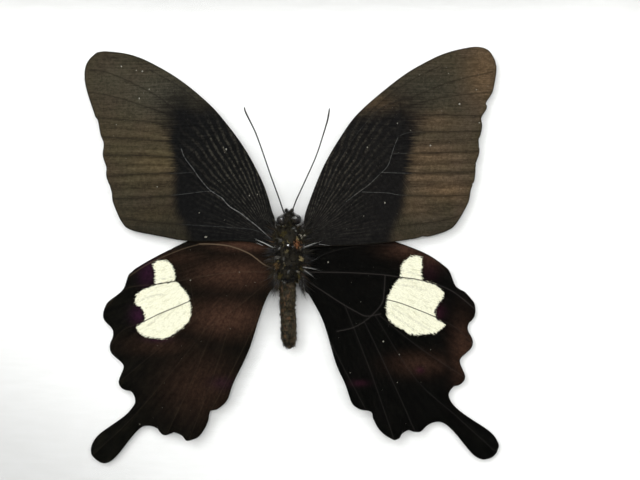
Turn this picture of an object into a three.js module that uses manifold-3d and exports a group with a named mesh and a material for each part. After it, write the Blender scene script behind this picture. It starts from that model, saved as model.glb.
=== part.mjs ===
// A pinned swallowtail butterfly in a small glazed box frame. Millimetres, +Z up, the glass faces -Y.
// The origin is at the middle of the underside, in the middle of the depth.
import * as THREE from "three";
import { mergeVertices } from "three/addons/utils/BufferGeometryUtils.js";
import Module from "manifold-3d";

const wasm = await Module();
wasm.setup();

// Driving dimensions of the frame
const PANE_WIDTH = 203; // an 8 by 6 inch pane
const PANE_HEIGHT = 152;
const PANE_THICK = 2;
const PANE_PLAY = 0.5; // between the pane's edge and the rebate
const LIP_COVER = 6; // how far the moulding covers the pane
const LIP_THICK = 5;
const RAIL_FACE = 20; // moulding width seen from the front
const RAIL_DEPTH = 34;
const MITRE_GAP = 0.1; // half of the hairline between two mitred rails
const CAVITY_DEPTH = 16; // from the glass to the mount board
const SPACER_THICK = 5;
const MOUNT_THICK = 5; // paper-faced foam board
const BACKING_THICK = 3; // hardboard
const FIT = 0.1; // gap between flat pieces that lie on each other
const CUT_GAP = 0.3; // gap around a piece that goes into another
const BUMPER_HIGH = 3;
const BUMPER_RADIUS = 5;
const BUMPER_INSET = 10; // from the frame's outer edges to a bumper's middle

// Driving dimension of the butterfly: tip to tip of the forewings
const WINGSPAN = 102.9;

// The photograph is 640 by 480 pixels. The outlines below are read from it, in its pixels.
const TIP_LEFT_PX = 84.8;
const TIP_RIGHT_PX = 496.4;
const PIXEL = WINGSPAN / (TIP_RIGHT_PX - TIP_LEFT_PX);
const CENTRE_PX = [291, 254]; // the middle of the butterfly, which is the middle of the frame
const VIEW_PX = [320, 240]; // where the photograph looks straight at the board
const VIEW_DISTANCE = 500; // from the camera to the forewing tips, where PIXEL holds

// Where the frame's layers lie, from front to back
const SIGHT_WIDTH = PANE_WIDTH - 2 * LIP_COVER;
const SIGHT_HEIGHT = PANE_HEIGHT - 2 * LIP_COVER;
const OUTER_HEIGHT = SIGHT_HEIGHT + 2 * RAIL_FACE;
const MIDDLE_Z = OUTER_HEIGHT / 2;
const FRONT_Y = -(RAIL_DEPTH + BUMPER_HIGH) / 2;
const RAIL_BACK_Y = FRONT_Y + RAIL_DEPTH;
const PANE_Y = FRONT_Y + LIP_THICK + FIT;
const SPACER_Y = PANE_Y + PANE_THICK + FIT;
const MOUNT_Y = PANE_Y + PANE_THICK + CAVITY_DEPTH;
const BACKING_Y = MOUNT_Y + MOUNT_THICK + FIT;
const POINT_Y = BACKING_Y + BACKING_THICK + FIT;

const group = new THREE.Group();

const material = (color, roughness, metalness = 0, extra = {}) =>
  new THREE.MeshStandardMaterial({ color, roughness, metalness, ...extra });
const walnut = material(0x4a2c1a, 0.45);
const clearGlass = material(0xeef5f2, 0.05, 0, { transparent: true, opacity: 0.25 });
const whiteBoard = material(0xf4f4f0, 0.9);
const hardboard = material(0x8a6642, 0.85);
const steel = material(0xb8b8b8, 0.35, 0.9);
const brass = material(0xb08a3e, 0.4, 0.9);
const rubber = material(0x2a2a2a, 0.8);
const wingScales = material(0x2a241c, 0.8);
const bodyHair = material(0x231e17, 0.95);
const darkHorn = material(0x15110d, 0.5);
const eyeHorn = material(0x2b2018, 0.25);

function add(name, geometry, finish) {
  const mesh = new THREE.Mesh(geometry, finish);
  mesh.name = name;
  group.add(mesh);
}

// A wing is a thin plate in front of the board: rise is its slope away from the body.
const WING_THICK = 0.4;
const FOREWING = { root: 6.7, rise: -0.08 };
const HINDWING = { root: 5.9, rise: -0.09 };
const TIP_HEIGHT = FOREWING.root + (FOREWING.rise * WINGSPAN) / 2;

// A point of the photograph as a place on the specimen, at a height in front of the mount board.
// What lies farther back than the forewing tips is larger than it looks.
function place([px, py], height) {
  const spread = 1 + (TIP_HEIGHT - height) / VIEW_DISTANCE;
  return new THREE.Vector3(
    (VIEW_PX[0] - CENTRE_PX[0] + (px - VIEW_PX[0]) * spread) * PIXEL,
    MOUNT_Y - height,
    MIDDLE_Z + (CENTRE_PX[1] - VIEW_PX[1] + (VIEW_PX[1] - py) * spread) * PIXEL,
  );
}

// Solids are cut with manifold-3d: a geometry goes in as a closed mesh and comes back as one.
function toSolid(geometry) {
  const bare = geometry.index ? geometry.toNonIndexed() : geometry.clone();
  bare.deleteAttribute("normal");
  bare.deleteAttribute("uv");
  const merged = mergeVertices(bare, 1e-3);
  return new wasm.Manifold(
    new wasm.Mesh({
      numProp: 3,
      vertProperties: new Float32Array(merged.attributes.position.array),
      triVerts: new Uint32Array(merged.index.array),
    }),
  );
}

function toGeometry(solid) {
  const mesh = solid.getMesh();
  const geometry = new THREE.BufferGeometry();
  geometry.setAttribute("position", new THREE.BufferAttribute(mesh.vertProperties, 3));
  geometry.setIndex(new THREE.BufferAttribute(mesh.triVerts, 1));
  geometry.computeVertexNormals();
  return geometry;
}

const cut = (geometry, ...tools) =>
  toGeometry(tools.reduce((left, tool) => left.subtract(toSolid(tool)), toSolid(geometry)));

// A box given by its lowest and highest corners.
function boxBetween(low, high) {
  const size = high.map((value, axis) => value - low[axis]);
  const middle = high.map((value, axis) => (value + low[axis]) / 2);
  return new THREE.BoxGeometry(...size).translate(...middle);
}

// A round solid about a curve: radii runs from the start to the end, and each end is closed flat.
function taperAlong(curve, radii, sides, rings) {
  const radiusAt = (t) => {
    const step = t * (radii.length - 1);
    const before = Math.min(Math.floor(step), radii.length - 2);
    return THREE.MathUtils.lerp(radii[before], radii[before + 1], step - before);
  };
  const profile = [new THREE.Vector2(0, 0)];
  for (let ring = 0; ring <= rings; ring += 1) {
    profile.push(new THREE.Vector2(radiusAt(ring / rings), ring));
  }
  profile.push(new THREE.Vector2(0, rings));
  const geometry = new THREE.LatheGeometry(profile, sides);
  const frames = curve.computeFrenetFrames(rings);
  const centres = curve.getSpacedPoints(rings);
  const position = geometry.attributes.position;
  const moved = new THREE.Vector3();
  for (let i = 0; i < position.count; i += 1) {
    const ring = Math.round(position.getY(i));
    moved
      .copy(centres[ring])
      .addScaledVector(frames.normals[ring], position.getZ(i))
      .addScaledVector(frames.binormals[ring], position.getX(i));
    position.setXYZ(i, moved.x, moved.y, moved.z);
  }
  return geometry;
}

// The moulding's section: x runs outwards from the sight edge, y from the front to the back.
function railSection() {
  const beadRadius = 1.5;
  const beadTop = 1;
  const quirk = 3.8; // where the main face begins
  const edgeRadius = 2.5;
  const section = new THREE.Shape();
  section.moveTo(0, LIP_THICK);
  section.lineTo(0, beadTop + beadRadius);
  section.absarc(beadRadius, beadTop + beadRadius, beadRadius, Math.PI, 2 * Math.PI, false);
  section.lineTo(quirk, beadTop + beadRadius);
  section.lineTo(quirk, beadTop + 0.4);
  section.quadraticCurveTo(quirk + 0.6, 0, quirk + 3.4, 0);
  section.lineTo(RAIL_FACE - edgeRadius, 0);
  section.absarc(RAIL_FACE - edgeRadius, edgeRadius, edgeRadius, -Math.PI / 2, 0, false);
  section.lineTo(RAIL_FACE, RAIL_DEPTH);
  section.lineTo(LIP_COVER, RAIL_DEPTH);
  section.lineTo(LIP_COVER, LIP_THICK);
  section.closePath();
  return section;
}

// A rail lies along X with its sight edge at z = 0 and its outer edge below, mitred at both ends.
function railGeometry(sightLength) {
  const geometry = new THREE.ExtrudeGeometry(railSection(), {
    depth: 1,
    bevelEnabled: false,
    curveSegments: 8,
  });
  const position = geometry.attributes.position;
  for (let i = 0; i < position.count; i += 1) {
    const outwards = position.getX(i);
    const depth = position.getY(i);
    const end = position.getZ(i) > 0.5 ? 1 : -1;
    const along = end * (sightLength / 2 + outwards - MITRE_GAP);
    position.setXYZ(i, along, FRONT_Y + depth, -outwards);
  }
  return geometry;
}

// Flat steel points are driven through the rebate wall, over the backing board.
const POINT_SIZE = { wide: 10, thick: 0.6, long: 12, buried: 6 };

function pointGeometry(grow = 0) {
  const half = POINT_SIZE.wide / 2 + grow;
  return boxBetween(
    [-half, POINT_Y - grow, -LIP_COVER - POINT_SIZE.buried - grow],
    [half, POINT_Y + POINT_SIZE.thick + grow, -LIP_COVER - POINT_SIZE.buried + POINT_SIZE.long],
  );
}

// The sawtooth hanger on the back of the top rail
const HANGER = {
  long: 46,
  high: 10,
  thick: 0.9,
  foot: 9, // flat ends, which lie on the wood
  ramp: 3,
  lift: 1.2,
  teeth: 9,
  toothHigh: 1.8,
  nailAt: 18.5,
};
const HANGER_Z = MIDDLE_Z + SIGHT_HEIGHT / 2 + LIP_COVER + 2;
const NAIL = { shank: 0.7, head: 1.7, headHigh: 0.6, long: 9 };

function hangerGeometry() {
  const half = HANGER.long / 2;
  const rampStart = half - HANGER.foot;
  const rampEnd = rampStart - HANGER.ramp;
  const low = RAIL_BACK_Y + FIT;
  const outline = (offset) => [
    [-half, low + offset],
    [-rampStart, low + offset],
    [-rampEnd, low + HANGER.lift + offset],
    [rampEnd, low + HANGER.lift + offset],
    [rampStart, low + offset],
    [half, low + offset],
  ];
  const side = new THREE.Shape();
  outline(0).forEach(([x, y], i) => (i ? side.lineTo(x, y) : side.moveTo(x, y)));
  outline(HANGER.thick)
    .reverse()
    .forEach(([x, y]) => side.lineTo(x, y));
  side.closePath();
  const plate = new THREE.ExtrudeGeometry(side, { depth: HANGER.high, bevelEnabled: false });
  plate.translate(0, 0, HANGER_Z);
  const pitch = (2 * rampEnd) / HANGER.teeth;
  const halfNotch = pitch * 0.4;
  const notchDepth = 6; // well past the plate
  const notches = Array.from({ length: HANGER.teeth }, (_, i) => {
    const middle = -rampEnd + (i + 0.5) * pitch;
    const notch = new THREE.Shape();
    notch.moveTo(middle - halfNotch, HANGER_Z - 1);
    notch.lineTo(middle, HANGER_Z + HANGER.toothHigh);
    notch.lineTo(middle + halfNotch, HANGER_Z - 1);
    notch.closePath();
    return new THREE.ExtrudeGeometry(notch, { depth: notchDepth, bevelEnabled: false })
      .rotateX(Math.PI / 2)
      .translate(0, RAIL_BACK_Y + notchDepth, 0);
  });
  const holes = [-1, 1].map((end) => nailHole(end));
  return cut(plate, ...notches, ...holes);
}

const nailPlace = (end) => new THREE.Vector3(end * HANGER.nailAt, 0, HANGER_Z + HANGER.high / 2);

function nailHole(end) {
  const radius = NAIL.shank + CUT_GAP;
  const { x, z } = nailPlace(end);
  return new THREE.CylinderGeometry(radius, radius, 2 * NAIL.long + 2, 16).translate(
    x,
    RAIL_BACK_Y,
    z,
  );
}

function nailGeometry(end) {
  const face = RAIL_BACK_Y + FIT + HANGER.thick + FIT;
  const profile = [
    [0, face - NAIL.long],
    [NAIL.shank, face - NAIL.long + 2],
    [NAIL.shank, face],
    [NAIL.head, face],
    [NAIL.head * 0.8, face + NAIL.headHigh * 0.7],
    [0, face + NAIL.headHigh],
  ].map(([radius, y]) => new THREE.Vector2(radius, y));
  const { x, z } = nailPlace(end);
  return new THREE.LatheGeometry(profile, 16).translate(x, 0, z);
}

function addFrame() {
  const pointsOn = {
    bottom: [-60, 60],
    top: [-60, 60],
    left: [-35, 35],
    right: [-35, 35],
  };
  const sides = [
    { side: "bottom", length: SIGHT_WIDTH, away: SIGHT_HEIGHT / 2, turn: 0 },
    { side: "right", length: SIGHT_HEIGHT, away: SIGHT_WIDTH / 2, turn: -Math.PI / 2 },
    { side: "top", length: SIGHT_WIDTH, away: SIGHT_HEIGHT / 2, turn: Math.PI },
    { side: "left", length: SIGHT_HEIGHT, away: SIGHT_WIDTH / 2, turn: Math.PI / 2 },
  ];
  for (const { side, length, away, turn } of sides) {
    const slots = pointsOn[side].map((along) => pointGeometry(CUT_GAP).translate(along, 0, 0));
    let rail = cut(railGeometry(length), ...slots);
    const turned = (geometry) =>
      geometry.translate(0, 0, -away).rotateY(turn).translate(0, 0, MIDDLE_Z);
    rail = turned(rail);
    if (side === "top") rail = cut(rail, nailHole(-1), nailHole(1));
    add(`rail_${side}`, rail, walnut);
    pointsOn[side].forEach((along, i) => {
      add(`point_${side}_${i + 1}`, turned(pointGeometry().translate(along, 0, 0)), steel);
    });
  }
}

function addLayers() {
  const halfWide = PANE_WIDTH / 2 - PANE_PLAY;
  const halfHigh = PANE_HEIGHT / 2 - PANE_PLAY;
  const sheet = (front, thick) =>
    boxBetween(
      [-halfWide, front, MIDDLE_Z - halfHigh],
      [halfWide, front + thick, MIDDLE_Z + halfHigh],
    );
  add("glass_pane", sheet(PANE_Y, PANE_THICK), clearGlass);
  add("mount_board", cut(sheet(MOUNT_Y, MOUNT_THICK), pinHole()), whiteBoard);
  add("backing_board", sheet(BACKING_Y, BACKING_THICK), hardboard);

  const back = MOUNT_Y - FIT;
  const innerHigh = halfHigh - SPACER_THICK;
  for (const [name, end] of [
    ["top", 1],
    ["bottom", -1],
  ]) {
    const edges = [MIDDLE_Z + end * innerHigh, MIDDLE_Z + end * halfHigh].sort((a, b) => a - b);
    const strip = boxBetween([-halfWide, SPACER_Y, edges[0]], [halfWide, back, edges[1]]);
    add(`spacer_${name}`, strip, whiteBoard);
  }
  const short = innerHigh - FIT;
  for (const [name, end] of [
    ["left", -1],
    ["right", 1],
  ]) {
    const edges = [end * (halfWide - SPACER_THICK), end * halfWide].sort((a, b) => a - b);
    const strip = boxBetween(
      [edges[0], SPACER_Y, MIDDLE_Z - short],
      [edges[1], back, MIDDLE_Z + short],
    );
    add(`spacer_${name}`, strip, whiteBoard);
  }
}

function addBackFittings() {
  add("hanger", hangerGeometry(), steel);
  add("hanger_nail_left", nailGeometry(-1), brass);
  add("hanger_nail_right", nailGeometry(1), brass);
  const low = RAIL_BACK_Y + FIT;
  const high = RAIL_BACK_Y + BUMPER_HIGH;
  const profile = [
    [0, low],
    [BUMPER_RADIUS, low],
    [BUMPER_RADIUS - 0.3, low + 1.4],
    [BUMPER_RADIUS - 1.4, high - 0.3],
    [BUMPER_RADIUS - 2.2, high],
    [0, high],
  ].map(([radius, y]) => new THREE.Vector2(radius, y));
  const across = SIGHT_WIDTH / 2 + RAIL_FACE - BUMPER_INSET;
  for (const [name, end] of [
    ["left", -1],
    ["right", 1],
  ]) {
    const bumper = new THREE.LatheGeometry(profile, 24).translate(end * across, 0, BUMPER_INSET);
    add(`bumper_${name}`, bumper, rubber);
  }
}

// The butterfly lies with its back to the glass. Heights are in front of the mount board.
const BODY_HEIGHT = 5.4; // the body's middle line
const BODY_PX = 289.5; // the body's middle line in the photograph
const HEAD_PX = 289.3;
const PIN_PX = [288.5, 246];
const PIN = { shaft: 0.25, head: 0.55, headHeight: 9.1, tipHeight: -4, taper: 1.2 };

const FOREWING_LEFT_PX = [
  [275, 221], [265.8, 190], [256.8, 170], [245.6, 150], [230.8, 129], [210, 104.8], [180, 80],
  [150, 62.4], [130, 54.7], [110, 51.8], [101, 51.9], [94.5, 54.6], [86.8, 64.2], [84.8, 77],
  [87.4, 91.5], [95.4, 116], [98.2, 120.6], [100.8, 134.6], [104, 143.6], [103.1, 155.5],
  [106.7, 167.6], [106.4, 173], [107.4, 179.6], [111.8, 191.2], [113.6, 203.2], [122, 222],
  [131.8, 230.2], [160, 236.2], [190, 241.2], [240, 241.4], [258, 243.8], [274, 248],
];

const FOREWING_RIGHT_PX = [
  [304, 221], [307, 208], [322.8, 168], [341, 136.4], [360, 111.6], [400, 78], [430, 60.1],
  [450, 51.9], [470, 47.5], [479, 47.2], [486, 49.2], [491, 53.6], [496.3, 67], [493.2, 89],
  [490.4, 95.8], [485.7, 103.2], [486.8, 106.4], [485.6, 110.4], [481, 118.2], [482, 125.8],
  [480, 136], [478.3, 140.2], [479.2, 152.2], [475.9, 163.6], [474.4, 179.4], [470.7, 189.6],
  [468, 202.8], [457.4, 221.8], [448.4, 230.2], [430.4, 236.2], [422, 236.6], [410.6, 239.4],
  [366, 244.8], [320, 246.6], [305, 248],
];

const HINDWING_LEFT_PX = [
  [274, 247.5], [254, 239.5], [225, 234.5], [200, 236.5], [170, 249.5], [141.2, 265],
  [130.2, 273.2], [127.6, 278.4], [122.8, 290.2], [109.2, 301], [105.4, 307], [103.4, 314.4],
  [104.8, 320.4], [111.8, 328], [113.5, 332.2], [112.8, 337.6], [110.5, 343], [110.2, 349],
  [112.8, 354.4], [122.4, 363], [123.6, 368.2], [119.4, 379], [119.3, 383.8], [121.8, 387.8],
  [126, 390], [130.6, 390.8], [133.6, 393.8], [135.4, 399.4], [134, 405.2], [124.2, 416],
  [102.3, 431.6], [95.4, 438.5], [91.9, 445.2], [91.3, 451.4], [93.8, 457], [104, 463],
  [115.8, 456.9], [133.5, 435], [144, 426], [155.4, 427.2], [162, 433.9], [166.8, 434.9],
  [174.6, 432.4], [182.5, 435.7], [184.9, 439], [188.4, 440.5], [199.2, 436.2], [207.3, 423.5],
  [209.9, 412.2], [212.4, 410.1], [217.6, 408.9], [227.3, 400], [233.9, 382], [248.7, 350.8],
  [259.6, 317], [266.8, 298], [273.4, 286.6],
];

const HINDWING_RIGHT_PX = [
  [305, 247.5], [326, 239.5], [355, 235.5], [384, 238.5], [409.8, 246.8], [430, 255.8], [446, 267.4],
  [450, 272.8], [454.8, 284.8], [459.6, 289.2], [465, 292.1], [473.1, 301.5], [475.1, 307.8],
  [474.8, 314.6], [472.2, 319.6], [468.9, 322.9], [467.4, 327.3], [468.5, 332], [471.2, 336.6],
  [472.7, 342.6], [470.2, 348.9], [460.8, 357.7], [460, 363.4], [464, 372.7], [464.8, 377.5],
  [462.9, 382], [457.9, 385.3], [453.2, 386.6], [448.5, 394.6], [453.6, 405], [466.8, 415.9],
  [489.9, 431.4], [497.9, 442.5], [497.9, 448.6], [494.6, 454.6], [489, 458.3], [483, 459.2],
  [476.6, 456.9], [469.9, 451.2], [452, 429.8], [440.4, 421.8], [428.8, 424.1], [421.8, 430.4],
  [418.4, 431.8], [412.7, 431.3], [408.2, 429.9], [401.8, 433.6], [399.9, 437.2], [396.5, 439.4],
  [391.9, 439], [380.5, 431], [373.2, 418.8], [372.2, 413.4], [369, 410.7], [361.9, 409.7],
  [356.2, 407.2], [351.2, 401.6], [345.2, 384.2], [335.5, 362.2], [322.6, 320], [304.2, 286.6],
];

function wingGeometry(outlinePx, { root, rise }) {
  const bodyX = place([BODY_PX, VIEW_PX[1]], root).x;
  const heightAt = (x) => root + rise * Math.abs(x - bodyX);
  const points = outlinePx.map((px) => {
    const { x, z } = place(px, heightAt(place(px, root).x));
    return new THREE.Vector2(x, z);
  });
  const shape = new THREE.Shape();
  shape.moveTo(points[0].x, points[0].y);
  shape.splineThru(points.slice(1));
  shape.closePath();
  const geometry = new THREE.ExtrudeGeometry(shape, {
    depth: WING_THICK,
    bevelEnabled: false,
    curveSegments: 3,
  });
  const position = geometry.attributes.position;
  for (let i = 0; i < position.count; i += 1) {
    const x = position.getX(i);
    const height = heightAt(x) + position.getZ(i) - WING_THICK / 2;
    position.setXYZ(i, x, MOUNT_Y - height, position.getY(i));
  }
  return geometry;
}

function addWings() {
  add("forewing_left", wingGeometry(FOREWING_LEFT_PX, FOREWING), wingScales);
  add("forewing_right", wingGeometry(FOREWING_RIGHT_PX, FOREWING), wingScales);
  add("hindwing_left", wingGeometry(HINDWING_LEFT_PX, HINDWING), wingScales);
  add("hindwing_right", wingGeometry(HINDWING_RIGHT_PX, HINDWING), wingScales);
}

// A smooth curve through photograph points, each with its own height.
const curveThrough = (points) =>
  new THREE.CatmullRomCurve3(points.map(([px, py, height]) => place([px, py], height)));

const THORAX_RADII = [2.2, 2.95, 3.15, 3.2, 3.25, 3.2, 3.1, 2.9, 2.5, 1.9];
const ABDOMEN_RADII = [1.7, 2.15, 2.2, 2.1, 1.95, 1.9, 1.95, 2.05, 2.1, 1.95, 1.5, 0.5];

function pinHole() {
  const radius = PIN.shaft + CUT_GAP;
  const long = 2 * PIN.headHeight; // through the thorax and the whole board
  const { x, z } = place(PIN_PX, PIN.headHeight);
  return new THREE.CylinderGeometry(radius, radius, long, 12).translate(x, MOUNT_Y, z);
}

function pinGeometry() {
  const top = PIN.headHeight;
  const profile = [
    [0, PIN.tipHeight],
    [PIN.shaft, PIN.tipHeight + PIN.taper],
    [PIN.shaft, top - 0.05],
    [PIN.head * 0.8, top],
    [PIN.head, top + 0.25],
    [PIN.head * 0.75, top + 0.55],
    [0, top + 0.7],
  ].map(([radius, height]) => new THREE.Vector2(radius, height));
  const { x, z } = place(PIN_PX, PIN.headHeight);
  return new THREE.LatheGeometry(profile, 16).rotateX(Math.PI).translate(x, MOUNT_Y, z);
}

function addBody() {
  const thoraxLine = curveThrough([
    [BODY_PX, 228, BODY_HEIGHT - 0.2],
    [BODY_PX, 254, BODY_HEIGHT],
    [BODY_PX, 280, BODY_HEIGHT - 0.3],
  ]);
  add("thorax", cut(taperAlong(thoraxLine, THORAX_RADII, 18, 12), pinHole()), bodyHair);

  const abdomenLine = curveThrough([
    [288.4, 281.5, BODY_HEIGHT - 0.4],
    [287.7, 295, BODY_HEIGHT - 0.7],
    [287.7, 312, BODY_HEIGHT - 1.1],
    [289, 330, BODY_HEIGHT - 1.5],
    [291.8, 346.6, BODY_HEIGHT - 1.8],
  ]);
  add("abdomen", taperAlong(abdomenLine, ABDOMEN_RADII, 16, 14), bodyHair);
  add("pin", pinGeometry(), steel);
}

function addHead() {
  const headRadius = 1.85;
  const eyeRadius = 1.3;
  const coilPoints = 24;
  const coilTurns = 2.25;
  const coilRadius = 0.95;
  const coilTightening = 0.0625; // millimetres for each radian
  const coilHeight = 1.7;
  const middle = place([HEAD_PX, 219.2], BODY_HEIGHT - 0.2);
  const eyes = [
    ["left", place([281.9, 220.2], BODY_HEIGHT)],
    ["right", place([296.4, 219.4], BODY_HEIGHT)],
  ];
  const ball = (radius, at) => new THREE.SphereGeometry(radius, 16, 10).translate(at.x, at.y, at.z);
  const sockets = eyes.map(([, at]) => ball(eyeRadius + CUT_GAP, at));
  add("head", cut(ball(headRadius, middle), ...sockets), bodyHair);
  for (const [side, at] of eyes) add(`eye_${side}`, ball(eyeRadius, at), eyeHorn);

  const palps = [
    ["left", -1],
    ["right", 1],
  ];
  for (const [side, end] of palps) {
    const line = curveThrough([
      [HEAD_PX + end * 2.6, 211.6, BODY_HEIGHT - 2.2],
      [HEAD_PX + end * 2.8, 210.6, BODY_HEIGHT - 1.2],
      [HEAD_PX + end * 2.4, 210.2, BODY_HEIGHT - 0.1],
    ]);
    add(`palp_${side}`, taperAlong(line, [0.3, 0.45, 0.4, 0.15], 10, 6), bodyHair);
  }

  const coil = new THREE.CatmullRomCurve3(
    Array.from({ length: coilPoints }, (_, i) => {
      const angle = (i / (coilPoints - 1)) * coilTurns * 2 * Math.PI;
      const radius = coilRadius - coilTightening * angle;
      return new THREE.Vector3(
        middle.x,
        MOUNT_Y - coilHeight + Math.cos(angle) * radius,
        middle.z + Math.sin(angle) * radius,
      );
    }),
  );
  add("proboscis", taperAlong(coil, [0.14, 0.12, 0.08], 5, 30), darkHorn);
}

const ANTENNA_LEFT = [
  [284.4, 213.2, 6.1], [283, 210, 6.6], [279.6, 200, 7], [276, 190, 7.4], [270.2, 174, 8],
  [265.4, 160, 8.5], [262, 150, 8.8], [258.4, 140, 9], [254.4, 130, 9.2], [250, 121, 9.3],
  [245.6, 112, 9.4], [244.4, 107, 9.4],
];
const ANTENNA_RIGHT = [
  [291.8, 212.2, 6.2], [292.8, 209.4, 6.6], [296.4, 200, 7], [301, 190, 7.4], [305.6, 180, 7.8],
  [310.2, 170, 8.1], [314.6, 160, 8.4], [318.4, 150, 8.7], [321.6, 140, 8.9], [325, 129, 9.1],
  [327.6, 120, 9.2], [329, 112, 9.3], [329.4, 108.2, 9.3],
];
const ANTENNA_RADII = [0.19, 0.17, 0.16, 0.16, 0.16, 0.16, 0.17, 0.19, 0.22, 0.24, 0.14];

// Each leg is folded under the thorax: away from the middle line, along the body, height.
const LEGS = {
  front: [[1.2, 4.2, 1.75], [3.3, 5.2, 2.4], [4.4, 2.2, 1.6], [4, -0.6, 0.75]],
  middle: [[1.2, 0.6, 1.7], [2.9, 0.3, 2.3], [5.4, -0.9, 1.7], [5.2, -4, 0.75]],
  hind: [[1.2, -2.6, 1.7], [2.8, -3.6, 2.2], [4.2, -5.4, 1.5], [4, -7.8, 0.75]],
};
const LEG_RADII = [0.26, 0.24, 0.16, 0.2, 0.15, 0.12, 0.1];

function addLimbs() {
  add("antenna_left", taperAlong(curveThrough(ANTENNA_LEFT), ANTENNA_RADII, 6, 20), darkHorn);
  add("antenna_right", taperAlong(curveThrough(ANTENNA_RIGHT), ANTENNA_RADII, 6, 20), darkHorn);
  const bodyX = place([BODY_PX, VIEW_PX[1]], BODY_HEIGHT).x;
  for (const [pair, joints] of Object.entries(LEGS)) {
    for (const [side, end] of [
      ["left", -1],
      ["right", 1],
    ]) {
      const line = new THREE.CatmullRomCurve3(
        joints.map(
          ([away, along, height]) =>
            new THREE.Vector3(bodyX + end * away, MOUNT_Y - height, MIDDLE_Z + along),
        ),
      );
      add(`leg_${pair}_${side}`, taperAlong(line, LEG_RADII, 6, 12), darkHorn);
    }
  }
}

addFrame();
addLayers();
addBackFittings();
addWings();
addBody();
addHead();
addLimbs();

export default group;
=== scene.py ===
import math

import bpy
import numpy as np
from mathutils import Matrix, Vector, geometry, noise


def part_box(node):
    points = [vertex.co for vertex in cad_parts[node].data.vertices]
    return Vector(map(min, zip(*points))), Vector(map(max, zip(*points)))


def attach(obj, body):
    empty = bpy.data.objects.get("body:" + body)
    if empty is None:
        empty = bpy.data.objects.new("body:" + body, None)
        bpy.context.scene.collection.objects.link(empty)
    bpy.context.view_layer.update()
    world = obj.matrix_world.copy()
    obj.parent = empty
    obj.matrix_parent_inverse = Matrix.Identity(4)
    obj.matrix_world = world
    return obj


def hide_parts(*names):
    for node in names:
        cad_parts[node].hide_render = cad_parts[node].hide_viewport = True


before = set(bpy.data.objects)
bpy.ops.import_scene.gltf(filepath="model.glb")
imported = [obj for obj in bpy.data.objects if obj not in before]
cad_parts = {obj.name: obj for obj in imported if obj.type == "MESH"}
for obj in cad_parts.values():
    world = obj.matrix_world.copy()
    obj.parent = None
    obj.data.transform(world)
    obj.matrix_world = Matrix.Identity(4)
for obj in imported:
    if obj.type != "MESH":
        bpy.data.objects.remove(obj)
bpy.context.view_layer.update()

MM = 0.001
noise.seed_set(3)  # the same roughness on every run

# The photograph is 640 by 480 pixels. Wing markings are read from it, in its pixels.
TIP_LEFT_PX = 84.8
TIP_RIGHT_PX = 496.4
CENTRE_PX = np.array((291, 254))  # the middle of the butterfly and of the frame
VIEW_PX = np.array((320, 240))  # where the photograph looks straight at the board
VIEW_DISTANCE = 500 * MM  # from the camera to the forewing tips, where PIXEL holds
PIXEL = (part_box("forewing_right")[1].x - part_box("forewing_left")[0].x) / (TIP_RIGHT_PX - TIP_LEFT_PX)
BOARD_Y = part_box("mount_board")[0].y
TIP_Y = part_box("forewing_left")[1].y
BODY_PX = 289.5  # the column of the middle of the body


def middle_of(node):
    low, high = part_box(node)
    return (low + high) / 2


MIDDLE_Z = middle_of("mount_board").z
BODY_X = middle_of("thorax").x


def flat(px, y=TIP_Y):
    """Photograph pixels as x and z where the line of sight meets the depth y."""
    spread = 1 + (np.asarray(y) - TIP_Y) / VIEW_DISTANCE
    away = VIEW_PX - CENTRE_PX + (np.asarray(px, float) - VIEW_PX) * spread[..., None]
    return away * (PIXEL, -PIXEL) + (0, MIDDLE_Z)


def place(px, py, height):
    """A photograph pixel as a point at that height in millimetres in front of the board."""
    y = BOARD_Y - height * MM
    x, z = flat((px, py), y)
    return Vector((x, y, z))


# Node materials

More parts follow.
